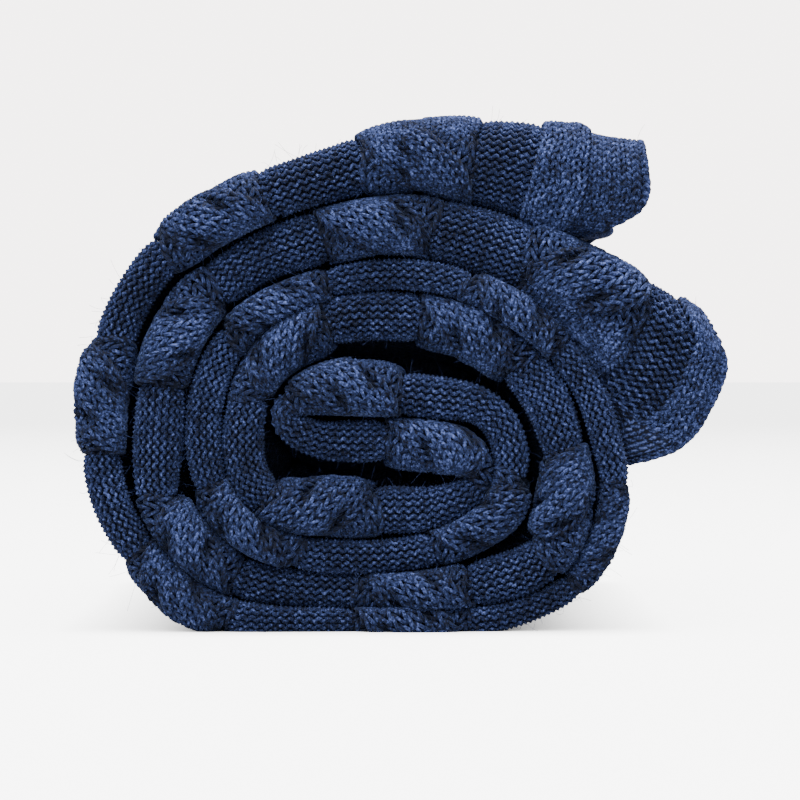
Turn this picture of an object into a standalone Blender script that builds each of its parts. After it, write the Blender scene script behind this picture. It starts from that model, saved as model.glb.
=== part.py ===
# A cable-knit throw, folded in four lengthwise, folded once across and rolled up from that cross fold.
# Metres, +Z up. The roll lies along Y, the long rounded fold of the cloth faces -Y, and Z = 0 is the surface.
import math
from collections import namedtuple

import bmesh
import bpy
import numpy as np

# Driving sizes, in metres.
MM = 0.001
CLOTH_LENGTH = 1.524
CLOTH_WIDTH = 1.270
LAYERS_ACROSS = 4
DEPTH = CLOTH_WIDTH / LAYERS_ACROSS
LAYER = 0.0034
BODY_HALF = 2 * LAYER

# The strip's middle line is read at this many points, and its room is measured at every fifth of them.
LINE_POINTS = 3000
ROOM_EVERY = 5
STRAIGHT_TURN = 1e-3

# Neighbouring turns share the room between them. A turn looks for its neighbours straight out to each side.
LEAST_GAP = 0.0007
OWN_STRETCH = 0.012
LOOK_WIDTH = 0.0025
LOOK_SPREAD = 0.05
EASE_STEPS = 1
BEND_SHARE = 0.80
NO_LIMIT = 1.0

# The raised cables: a band about 12 stitches wide, lower between its two ropes and proud where they cross.
CABLE_RAISE = 0.0024
CABLE_FOOT = 0.0016
CROSSING_PITCH = 0.036
ROPE_VALLEY = 0.55
CROSSING_CREST = 0.90

# The rounded front fold, the two hems and the folded edge at the back.
NOSE_STEPS = 6
NOSE_REACH = 0.013
NOSE_WANDER = 0.0015
FRONT_WAVES = (37.0, 83.0)
BACK_WAVE = 23.0
HEM_GROOVE = 0.004
FOLD_GROOVE = 0.007

# The back of a section, from its right side to its left: share of that side's reach, distance from the back.
BackPoint = namedtuple("BackPoint", "share inset")
BACK_POINTS = (
    BackPoint(1.00, 0.0030),
    BackPoint(0.85, 0.0010),
    BackPoint(0.50, 0.0),
    BackPoint(0.15, 0.0010),
    BackPoint(0.0, FOLD_GROOVE),
    BackPoint(-0.25, 0.0005),
    BackPoint(-0.50, HEM_GROOVE),
    BackPoint(-0.75, 0.0),
    BackPoint(-1.00, 0.0020),
)

# Keys that run once round a section: the front fold, the right face, the back and the left face.
FRONT_KEYS = 0.20
FACE_KEYS = 0.30
BACK_KEYS = 0.15
HOME_KEYS = 0.35
FRONT_TIP_KEY = FRONT_KEYS / 2
BACK_TIP_KEY = FRONT_KEYS + FACE_KEYS + BACK_KEYS / 2
PAST_LAST_KEY = 9.0
SAME_KEY = 1e-9

# The lips of the loose ends sag open. Behind the front fold they close down to four flat layers.
SAG_DEPTH = 0.095
POCKET_DEPTH = 0.055
POCKET_HALF = 0.0135
POCKET_LENGTH = 0.120
POCKET_COLUMNS = (0.0, 0.06, 0.2, 0.4, 0.65, 1.0)
POCKET_SHARE = 0.8
POCKET_START = 0.3

# Behind their lips the turns swell into the gaps between them, where a neighbour is nearer than FILL_FAR.
FILL_FAR = 0.018
FILL_RANGE = 0.006
FILL_START = 0.030
FILL_REACH = 0.090

# Spacing of the sections along the strip and of the columns across its open faces.
LONG_STEP = 0.0100
SHORT_STEP = 0.0024
STEP_TO_RADIUS = 0.45
SAME_PLACE = 0.0011
HIDDEN_COLUMNS = (0.042, 0.130)
OPEN_COLUMN = 0.012
COLUMN_CLEAR = 0.003

# The strip seen from its front fold, in millimetres: its middle line from the upper loose end in to the
# cross fold and out again to the lower loose end, with how far it reaches to the left and right of that line.
Section = namedtuple("Section", "x z left right")
UPPER_END = (
    Section(70.0, 133.0, 14.5, 14.5),
    Section(59.5, 134.0, 15.0, 15.0),
    Section(49.5, 135.5, 16.0, 16.0),
    Section(32.5, 139.5, 13.5, 14.0),
    Section(16.0, 142.0, 11.5, 11.5),
    Section(5.0, 143.0, 9.0, 9.5),
    Section(-18.5, 138.5, 8.0, 7.5),
    Section(-41.0, 131.0, 7.0, 7.0),
    Section(-56.0, 124.0, 6.5, 6.0),
)
OUTER_TURN_ONE = (
    Section(-72.0, 112.5, 5.5, 5.5),
    Section(-82.0, 98.5, 5.5, 5.5),
    Section(-87.5, 84.5, 6.0, 5.5),
    Section(-90.0, 69.5, 6.0, 5.5),
    Section(-90.5, 54.5, 5.5, 5.5),
    Section(-87.5, 38.0, 5.5, 5.0),
    Section(-80.5, 25.0, 5.5, 4.5),
    Section(-69.0, 13.0, 5.0, 5.0),
    Section(-53.0, 5.5, 4.0, 5.5),
    Section(-27.5, 3.6, 3.5, 4.5),
    Section(-0.5, 3.2, 3.5, 4.5),
    Section(23.5, 3.8, 3.0, 4.5),
    Section(41.5, 8.2, 3.0, 3.5),
    Section(55.5, 17.5, 3.5, 3.5),
    Section(62.0, 30.5, 3.5, 3.5),
    Section(64.0, 44.0, 3.5, 4.0),
    Section(61.5, 57.5, 4.0, 4.0),
    Section(57.0, 71.0, 4.0, 4.5),
    Section(48.0, 84.5, 4.0, 5.0),
    Section(34.0, 96.5, 4.0, 4.5),
    Section(19.0, 104.0, 4.0, 4.0),
    Section(-0.5, 107.5, 4.0, 4.0),
    Section(-18.5, 105.5, 4.0, 4.0),
)
INNER_TURN_ONE = (
    Section(-35.0, 99.5, 4.0, 4.0),
    Section(-48.5, 90.5, 4.5, 4.5),
    Section(-56.5, 78.0, 5.0, 4.5),
    Section(-59.5, 63.5, 5.0, 5.0),
    Section(-58.5, 50.0, 5.0, 5.0),
    Section(-52.0, 36.0, 4.5, 5.0),
    Section(-39.0, 26.5, 4.0, 5.0),
    Section(-20.0, 22.5, 4.5, 4.5),
    Section(-0.5, 23.0, 4.5, 4.5),
    Section(16.5, 27.5, 4.5, 5.0),
    Section(28.5, 37.0, 5.0, 5.0),
    Section(33.0, 51.0, 5.0, 5.0),
    Section(30.0, 62.0, 5.0, 5.0),
    Section(24.0, 67.5, 5.0, 5.0),
    Section(12.0, 70.0, 6.0, 6.0),
    Section(-0.5, 71.5, 6.0, 6.0),
    Section(-15.5, 72.5, 6.0, 6.5),
    Section(-26.0, 71.5, 5.0, 6.0),
)
CROSS_FOLD = (
    Section(-32.0, 68.7, 3.8, 5.5),
    Section(-34.2, 65.3, 3.0, 4.5),
    Section(-29.5, 60.3, 3.8, 5.5),
)
INNER_TURN_TWO = (
    Section(-17.0, 57.5, 5.5, 6.0),
    Section(-0.5, 57.5, 5.5, 6.0),
    Section(11.5, 56.0, 6.0, 6.0),
    Section(21.0, 51.5, 5.5, 5.0),
    Section(22.5, 44.5, 5.0, 4.0),
    Section(15.0, 38.5, 6.0, 5.5),
    Section(-0.5, 36.5, 7.0, 6.5),
    Section(-24.5, 36.5, 7.0, 6.5),
    Section(-41.0, 39.5, 6.5, 6.0),
    Section(-47.5, 50.5, 5.5, 6.0),
    Section(-47.5, 63.5, 5.5, 6.0),
    Section(-44.0, 75.5, 5.5, 6.0),
    Section(-34.5, 86.5, 6.0, 6.5),
    Section(-21.5, 93.5, 6.5, 7.0),
    Section(-0.5, 95.0, 7.0, 7.0),
    Section(14.5, 93.0, 6.0, 6.5),
)
OUTER_TURN_TWO = (
    Section(30.5, 85.5, 6.5, 7.0),
    Section(42.0, 73.0, 7.0, 7.0),
    Section(48.0, 57.5, 6.0, 6.0),
    Section(50.5, 39.5, 5.5, 6.5),
    Section(45.5, 23.5, 5.5, 7.0),
    Section(28.0, 15.0, 6.5, 7.0),
    Section(4.0, 11.5, 5.0, 5.0),
    Section(-24.5, 12.0, 5.5, 5.5),
    Section(-47.0, 15.5, 5.5, 6.0),
    Section(-62.5, 25.0, 5.5, 6.0),
    Section(-73.0, 41.0, 6.0, 5.5),
    Section(-73.5, 57.5, 7.0, 8.0),
    Section(-72.0, 74.0, 6.5, 7.0),
    Section(-68.0, 87.5, 6.0, 6.5),
    Section(-60.5, 99.0, 6.0, 6.0),
)
LOWER_END = (
    Section(-51.0, 107.5, 6.5, 7.0),
    Section(-40.5, 113.5, 7.0, 7.0),
    Section(-27.5, 118.0, 7.5, 8.0),
    Section(-7.5, 122.5, 6.5, 7.0),
    Section(23.5, 119.0, 8.0, 8.5),
    Section(38.5, 113.0, 8.5, 9.5),
    Section(54.0, 106.5, 7.0, 14.5),
    Section(72.0, 97.0, 8.0, 25.0),
    Section(88.0, 87.5, 8.0, 41.0),
)
TURNS_IN = UPPER_END + OUTER_TURN_ONE + INNER_TURN_ONE
TURNS_OUT = INNER_TURN_TWO + OUTER_TURN_TWO + LOWER_END
SECTIONS = TURNS_IN + CROSS_FOLD + TURNS_OUT

# Where each raised band's middle lies along the strip, in millimetres from the upper loose end.
Band = namedtuple("Band", "middle width")
PLAIT_WIDTH = 15.5
LOWER_PLAIT_WIDTH = 7.5
CABLE_WIDTH = 35.0
CABLE_MIDDLES = (
    66.8,
    133.1,
    200.5,
    267.5,
    340.5,
    410.0,
    490.0,
    567.5,
    649.0,
    725.5,
    809.0,
    879.5,
    948.6,
    1017.0,
    1080.0,
    1145.0,
    1205.5,
    1277.5,
    1347.0,
    1418.6,
    1484.0,
)
CABLES = tuple(Band(middle, CABLE_WIDTH) for middle in CABLE_MIDDLES)
BANDS = (Band(24.0, PLAIT_WIDTH),) + CABLES + (Band(1518.5, LOWER_PLAIT_WIDTH),)

# Faces of the strip that lie open on the outside of the roll, in millimetres along it: 0 is left, 1 is right.
OpenFace = namedtuple("OpenFace", "column start end")
OPEN_FACES = (OpenFace(1, 0.0, 440.0), OpenFace(0, 1440.0, 1524.0))

# How the edge of each loose end stands out at the front: along the strip, in metres, at the left side of
# the lip, at its middle and at its right side, and how far back along the strip that dies away.
Rim = namedtuple("Rim", "left middle right reach")
UPPER_RIM = Rim(-0.013, 0.005, 0.002, 0.034)
LOWER_RIM = Rim(0.000, 0.0125, -0.002, 0.062)
RIM_DEPTH = 0.070
RIM_POWER = 1.5

YARN_BLUE = (0.028, 0.062, 0.152, 1.0)
YARN_ROUGHNESS = 0.85


def clear_scene():
    for thing in list(bpy.data.objects):
        bpy.data.objects.remove(thing, do_unlink=True)


def smooth_line(knots, values, places):
    """Natural cubic spline through values at the knots, read at places."""
    count = len(knots)
    gaps = np.diff(knots)
    matrix = np.zeros((count, count))
    bends = np.zeros((count, values.shape[1]))
    matrix[0, 0] = 1
    matrix[-1, -1] = 1
    for i in range(1, count - 1):
        matrix[i, i - 1 : i + 2] = gaps[i - 1], 2 * (gaps[i - 1] + gaps[i]), gaps[i]
        slope_after = (values[i + 1] - values[i]) / gaps[i]
        slope_before = (values[i] - values[i - 1]) / gaps[i - 1]
        bends[i] = 6 * (slope_after - slope_before)
    second = np.linalg.solve(matrix, bends)
    i = np.clip(np.searchsorted(knots, places) - 1, 0, count - 2)
    gap = gaps[i][:, None]
    after = (knots[i + 1] - places)[:, None]
    before = (places - knots[i])[:, None]
    curved = (second[i] * after**3 + second[i + 1] * before**3) / (6 * gap)
    straight = (values[i] / gap - second[i] * gap / 6) * after
    straight += (values[i + 1] / gap - second[i + 1] * gap / 6) * before
    return curved + straight


class Strip:
    """The middle line of the folded strip, its directions and its reach to each side, by length along it."""

    def __init__(self):
        rows = np.array(SECTIONS) * MM
        knots = np.concatenate([[0], np.cumsum(np.hypot(*np.diff(rows[:, :2], axis=0).T))])
        fine = np.linspace(0, knots[-1], LINE_POINTS)
        line = smooth_line(knots, rows[:, :2], fine)
        along = np.concatenate([[0], np.cumsum(np.hypot(*np.diff(line, axis=0).T))])
        self.scale = CLOTH_LENGTH / along[-1]
        self.along = along * self.scale
        self.line = line
        way = np.gradient(line, axis=0)
        self.way = way / np.hypot(*way.T)[:, None]
        self.side = np.stack([self.way[:, 1], -self.way[:, 0]], axis=1)
        turn = np.gradient(np.unwrap(np.arctan2(self.way[:, 1], self.way[:, 0]))) / np.gradient(along)
        self.radius = 1 / np.maximum(np.abs(turn), STRAIGHT_TURN)
        self.turns_left = turn > 0
        widths = np.stack([np.interp(fine, knots, rows[:, column]) for column in (2, 3)], axis=1)
        self.reach = self.within_room(widths)

    def within_room(self, widths):
        """Widths shared with the neighbouring turns, so that two facing sides never meet."""
        picked = np.arange(0, LINE_POINTS, ROOM_EVERY)
        points = self.line[picked]
        bend = BEND_SHARE * self.radius[picked]
        inside = np.stack([self.turns_left[picked], ~self.turns_left[picked]], axis=1)
        limits = np.where(inside, bend[:, None], NO_LIMIT)
        for k, (point, side) in enumerate(zip(points, self.side[picked])):
            offset = points - point
            distance = np.hypot(*offset.T)
            apart = np.abs(self.along[picked] - self.along[picked[k]]) > OWN_STRETCH
            in_line = np.abs(offset @ self.way[picked[k]]) < LOOK_WIDTH + LOOK_SPREAD * distance
            for column, facing in ((0, -1), (1, 1)):
                ahead = apart & in_line & (offset @ (facing * side) > 0)
                other_right = (self.side[picked] * -offset).sum(axis=1) > 0
                other = np.where(other_right, widths[picked, 1], widths[picked, 0]) + MM
                own = widths[picked[k], column] + MM
                share = distance * own / (own + other) - LEAST_GAP / 2
                if ahead.any():
                    limits[k, column] = min(limits[k, column], share[ahead].min())
        limits = np.stack([self.eased(limits[:, column]) for column in (0, 1)], axis=1)
        ends = self.along[picked]
        self.limit = np.stack([np.interp(self.along, ends, limits[:, column]) for column in (0, 1)], axis=1)
        return np.minimum(widths, self.limit)

    def eased(self, values):
        """The lowest value nearby, then a running mean of those, which stays at or below each value."""
        padded = np.pad(values, EASE_STEPS, mode="edge")
        lowest = np.min([padded[k : k + len(values)] for k in range(2 * EASE_STEPS + 1)], axis=0)
        padded = np.pad(lowest, EASE_STEPS, mode="edge")
        return np.mean([padded[k : k + len(values)] for k in range(2 * EASE_STEPS + 1)], axis=0)

    def at(self, place):
        i = int(np.clip(np.searchsorted(self.along, place), 0, len(self.along) - 1))
        return self.line[i], self.way[i], self.side[i], self.reach[i], self.limit[i]

    def radius_at(self, place):
        return float(np.interp(place, self.along, self.radius))


def band_places():
    """Sections that a raised band needs: its feet, its shoulders, its two ropes and the valley between."""
    places = []
    for band in BANDS:
        half = band.width * MM / 2
        for offset in (half + CABLE_FOOT / 2, half - CABLE_FOOT / 2, half / 2):
            places += [band.middle * MM - offset, band.middle * MM + offset]
        places.append(band.middle * MM)
    return sorted(places)


def section_places(strip):
    """Lengths along the strip where a section is laid, closer together on tight bends."""
    fixed = [0.0] + [p for p in band_places() if SAME_PLACE < p < CLOTH_LENGTH - SAME_PLACE] + [CLOTH_LENGTH]
    places = [fixed[0]]
    for target in fixed[1:]:
        gap = target - places[-1]
        if gap < SAME_PLACE:
            continue
        middle = (target + places[-1]) / 2
        longest = min(LONG_STEP, max(SHORT_STEP, STEP_TO_RADIUS * strip.radius_at(middle)))
        count = max(1, math.ceil(gap / longest))
        start = places[-1]
        places += [start + gap * k / count for k in range(1, count + 1)]
    return places


def eased_step(share):
    """0 at or below 0, 1 at or above 1 and smooth between."""
    share = min(1.0, max(0.0, share))
    return share * share * (3 - 2 * share)


def crossing(depth):
    """1 where the two ropes of a cable cross, 0 half way between crossings."""
    return 0.5 + 0.5 * math.cos(2 * math.pi * depth / CROSSING_PITCH)


def band_raise(place, depth):
    """How far the knit stands proud at this place along the strip and this depth behind the front fold."""
    for band in BANDS:
        half = band.width * MM / 2
        off = abs(place - band.middle * MM)
        if off >= half + CABLE_FOOT / 2:
            continue
        if off > half - CABLE_FOOT / 2:
            return CABLE_RAISE * (half + CABLE_FOOT / 2 - off) / CABLE_FOOT
        middle = max(0.0, 1 - off / (half / 2))
        valley = 1 - (1 - ROPE_VALLEY) * middle
        crest = CROSSING_CREST * middle if band.width == CABLE_WIDTH else 0.0
        return CABLE_RAISE * (valley + crest * crossing(depth))
    return 0.0


def rim_offset(place, across, depth):
    """How far a point near a loose end stands out along the strip. across runs from 0, left, to 1, right."""
    for rim, gone, sign in ((UPPER_RIM, place, -1), (LOWER_RIM, CLOTH_LENGTH - place, 1)):
        if gone >= rim.reach:
            continue
        half = (rim.left + rim.right) / 2
        lean = (rim.right - rim.left) / 2
        bow = rim.middle - half
        turn = 2 * across - 1
        stand = half + lean * turn + bow * (1 - turn * turn)
        return sign * stand * (1 - gone / rim.reach) ** RIM_POWER * math.exp(-((depth / RIM_DEPTH) ** 2))
    return 0.0


class SectionShape:
    """One cross-section of the folded strip, as keyed points that run once round it."""

    def __init__(self, strip, place):
        self.place = place
        self.centre, self.way, self.side, self.reach, self.limit = strip.at(place)
        slow, quick = FRONT_WAVES
        self.front = -DEPTH / 2 + NOSE_WANDER * (math.sin(slow * place) + math.sin(quick * place) / 2)
        self.back = DEPTH / 2 + NOSE_WANDER * math.sin(BACK_WAVE * place)
        self.nose = min(sum(self.reach) / 2, NOSE_REACH)

    def half(self, column, depth):
        """Reach to one side (0 left, 1 right) at this depth behind the front fold."""
        lip = self.reach[column]
        flat = min(lip, BODY_HALF)
        fall = math.exp(-((max(0.0, depth - self.nose) / SAG_DEPTH) ** 2))
        plain = flat + (lip - flat) * fall
        room = max(0.0, self.limit[column] - plain)
        near = eased_step((FILL_FAR - self.limit[column]) / FILL_RANGE)
        plain += room * near * eased_step((depth - FILL_START) / FILL_REACH)
        return min(plain + band_raise(self.place, depth), max(plain, self.limit[column]))

    def point(self, offset, y, depth):
        """A point offset to the right of the middle line, at this y."""
        right = self.half(1, depth)
        left = self.half(0, depth)
        across = (offset + left) / (left + right)
        stand = rim_offset(self.place, across, depth)
        x, z = self.centre + self.side * offset + self.way * stand
        return (x, y, max(z, 0.0))

    def ring(self):
        """Keys from 0 to 1: round the front fold from left to right, back along the right side and home."""
        points = []
        raised = band_raise(self.place, 0.0)
        for k in range(NOSE_STEPS + 1):
            angle = math.pi * (k / NOSE_STEPS - 0.5)
            bulge = 1 + raised / self.nose * math.cos(angle)
            column = 1 if angle > 0 else 0
            wide = self.half(column, self.nose)
            y = self.front + self.nose * (1 - math.cos(angle) * bulge)
            points.append((FRONT_KEYS * k / NOSE_STEPS, self.point(wide * math.sin(angle), y, self.nose)))
        points += [(right_key(depth), self.face_point(1, depth)) for depth in self.columns(1)]
        points += self.back_points()
        left = [(left_key(depth), self.face_point(0, depth)) for depth in self.columns(0)]
        return points + left[::-1]

    def columns(self, column):
        """Depth behind the front fold of each column of points between the nose and the back."""
        depths = [self.nose + d for d in HIDDEN_COLUMNS]
        for face in OPEN_FACES:
            if face.column == column and face.start * MM <= self.place <= face.end * MM:
                count = int((DEPTH - self.nose) / OPEN_COLUMN)
                evenly = [OPEN_COLUMN * k for k in range(1, count + 1)]
                depths = [depth for depth in evenly if depth > self.nose + COLUMN_CLEAR]
        return depths

    def face_point(self, column, depth):
        offset = self.half(column, depth) * (1 if column else -1)
        return self.point(offset, self.front + depth, depth)

    def back_points(self):
        """The folded edge on the right half and the two hems on the left half, with a groove between each."""
        points = []
        for k, (share, inset) in enumerate(BACK_POINTS):
            offset = share * self.half(1 if share > 0 else 0, DEPTH)
            key = FRONT_KEYS + FACE_KEYS + BACK_KEYS * k / (len(BACK_POINTS) - 1)
            points.append((key, self.point(offset, self.back - inset, DEPTH)))
        return points

    def pocket(self, gone):
        """The open space between the inner layers of a loose end, gone metres in from its edge."""
        open_share = math.sqrt(max(0.0, 1 - (gone / POCKET_DEPTH) ** 2))
        right_side = []
        left_side = []
        for share in POCKET_COLUMNS:
            depth = POCKET_START * self.nose + BODY_HALF + POCKET_LENGTH * share
            left = self.half(0, depth)
            right = self.half(1, depth)
            room = max(0.0, (left + right) / 2 - BODY_HALF)
            gap = min(room, POCKET_HALF) * open_share * math.sqrt(1 - share * share)
            middle = (right - left) / 2
            right_side.append((right_key(depth), self.point(middle + gap, self.front + depth, depth)))
            left_side.append((left_key(depth), self.point(middle - gap, self.front + depth, depth)))
        front_tip = (FRONT_TIP_KEY, left_side[0][1])
        back_tip = (BACK_TIP_KEY, left_side[-1][1])
        return [front_tip] + right_side[1:-1] + [back_tip] + left_side[-2:0:-1]


def right_key(depth):
    return FRONT_KEYS + FACE_KEYS * depth / DEPTH


def left_key(depth):
    return 1.0 - HOME_KEYS * depth / DEPTH


def add_ring(mesh, keyed):
    return [(key, mesh.verts.new(point)) for key, point in keyed]


def join_rings(mesh, first, second):
    """Faces between two closed rings of keyed points: a quad for equal keys, or else a triangle."""
    first = first + [(1.0 + first[0][0], first[0][1])]
    second = second + [(1.0 + second[0][0], second[0][1])]
    i = 0
    j = 0
    while i < len(first) - 1 or j < len(second) - 1:
        next_first = first[i + 1][0] if i < len(first) - 1 else PAST_LAST_KEY
        next_second = second[j + 1][0] if j < len(second) - 1 else PAST_LAST_KEY
        corners = [first[i][1], second[j][1]]
        if abs(next_first - next_second) < SAME_KEY:
            corners += [second[j + 1][1], first[i + 1][1]]
            i += 1
            j += 1
        elif next_first < next_second:
            corners.append(first[i + 1][1])
            i += 1
        else:
            corners.append(second[j + 1][1])
            j += 1
        mesh.faces.new(corners)


def add_end(mesh, shapes, outer_ring, gone):
    """Closes a loose end with the open pocket between its layers. shapes run inwards from the end."""
    last = outer_ring
    for shape, distance in zip(shapes, gone):
        ring = add_ring(mesh, shape.pocket(distance))
        join_rings(mesh, last, ring)
        last = ring
    mesh.faces.new([vert for _, vert in last])


def build_blanket():
    strip = Strip()
    places = section_places(strip)
    shapes = [SectionShape(strip, place) for place in places]
    mesh = bmesh.new()
    rings = [add_ring(mesh, shape.ring()) for shape in shapes]
    for first, second in zip(rings, rings[1:]):
        join_rings(mesh, first, second)
    pocket_reach = POCKET_SHARE * POCKET_DEPTH
    upper = [shape for shape in shapes if shape.place < pocket_reach][::2]
    lower = [shape for shape in shapes[::-1] if CLOTH_LENGTH - shape.place < pocket_reach][::2]
    add_end(mesh, upper, rings[0], [shape.place for shape in upper])
    add_end(mesh, lower, rings[-1], [CLOTH_LENGTH - shape.place for shape in lower])
    bmesh.ops.triangulate(mesh, faces=mesh.faces[:])
    bmesh.ops.recalc_face_normals(mesh, faces=mesh.faces[:])
    centre_on_base(mesh)
    data = bpy.data.meshes.new("blanket")
    mesh.to_mesh(data)
    mesh.free()
    data.shade_smooth()
    blanket = bpy.data.objects.new("blanket", data)
    bpy.context.scene.collection.objects.link(blanket)
    return blanket


def centre_on_base(mesh):
    """Moves the origin to the middle of the base of the whole shape."""
    points = np.array([vert.co[:] for vert in mesh.verts])
    low = points.min(axis=0)
    high = points.max(axis=0)
    shift = (-(low[0] + high[0]) / 2, -(low[1] + high[1]) / 2, -low[2])
    bmesh.ops.translate(mesh, verts=mesh.verts[:], vec=shift)


def yarn_material():
    material = bpy.data.materials.new("navy yarn")
    material.use_nodes = True
    shader = material.node_tree.nodes["Principled BSDF"]
    shader.inputs["Base Color"].default_value = YARN_BLUE
    shader.inputs["Roughness"].default_value = YARN_ROUGHNESS
    shader.inputs["Metallic"].default_value = 0.0
    return material


clear_scene()
blanket = build_blanket()
blanket.data.materials.append(yarn_material())
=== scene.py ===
import math

import bpy
import numpy as np
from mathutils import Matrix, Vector


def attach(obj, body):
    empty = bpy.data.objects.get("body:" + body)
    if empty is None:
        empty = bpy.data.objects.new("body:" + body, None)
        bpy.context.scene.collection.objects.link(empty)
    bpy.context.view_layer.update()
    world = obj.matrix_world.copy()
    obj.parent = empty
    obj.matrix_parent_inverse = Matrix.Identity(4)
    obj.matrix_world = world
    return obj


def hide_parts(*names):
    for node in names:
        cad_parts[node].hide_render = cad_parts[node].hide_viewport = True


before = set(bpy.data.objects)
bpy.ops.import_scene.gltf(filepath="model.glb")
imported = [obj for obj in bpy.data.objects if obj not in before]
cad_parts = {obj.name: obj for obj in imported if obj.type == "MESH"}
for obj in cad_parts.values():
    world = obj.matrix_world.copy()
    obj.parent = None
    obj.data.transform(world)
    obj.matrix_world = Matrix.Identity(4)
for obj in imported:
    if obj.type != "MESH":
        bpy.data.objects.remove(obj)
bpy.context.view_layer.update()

# The cloth and how it is wound. Lengths are in metres, and the tables are in millimetres.
cloth = {
    "length": 1.524,
    "width": 1.270,
    "layer": 0.0034,
    "shiftX": 0.0021167,  # from the traced winding to the middle of the roll's box
    "shiftY": 0.0020977,
    "linePoints": 3000,
    "roomEvery": 5,
    "leastGap": 0.0007,  # between the lips of neighbouring turns
    "roomSkin": 0.001,  # added to both widths when turns share their room
    "leastTurn": 0.001,
    "ownStretch": 0.012,  # stretches of the strip closer than this, measured along it, aren't neighbours
    "lookWidth": 0.0025,
    "lookSpread": 0.05,
    "bendShare": 0.80,  # on the inside of a bend, the most of its radius that a lip takes
    "noseReach": 0.013,
    "noseWander": 0.0015,
    "frontWaves": (37.0, 83.0),
    "backWave": 23.0,
    "sagDepth": 0.095,
    "rimDepth": 0.070,
    "rimPower": 1.5,
    "rimSteps": 201,
    "fillFar": 0.026,  # neighbours nearer than this swell to meet, from fillStart behind the front
    "fillRange": 0.008,
    "fillStart": 0.017,
    "fillReach": 0.050,
    "swell": 0.0005,  # soft lips stand this much fuller than the solid where there is room
    "pressed": 0.0004,  # and press this far into the gap that the solid keeps
    "noseShape": 0.92,
    "flapStart": 1.494,
    "flapRun": 0.022,
    "flapMore": 0.0055,
    "flapPress": 0.0026,  # its lip rests against the roll's side here
    "flapPressFrom": 1.425,
    "flapPressRun": 0.014,
    "mouthUpper": 0.050,  # the turns stay open where the two loose ends part
    "mouthLower": 1.449,
    "mouthRun": 0.020,
    "floorClear": 0.0003,
}
rollDepth = cloth["width"] / 4
bodyHalf = 2 * cloth["layer"]

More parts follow.
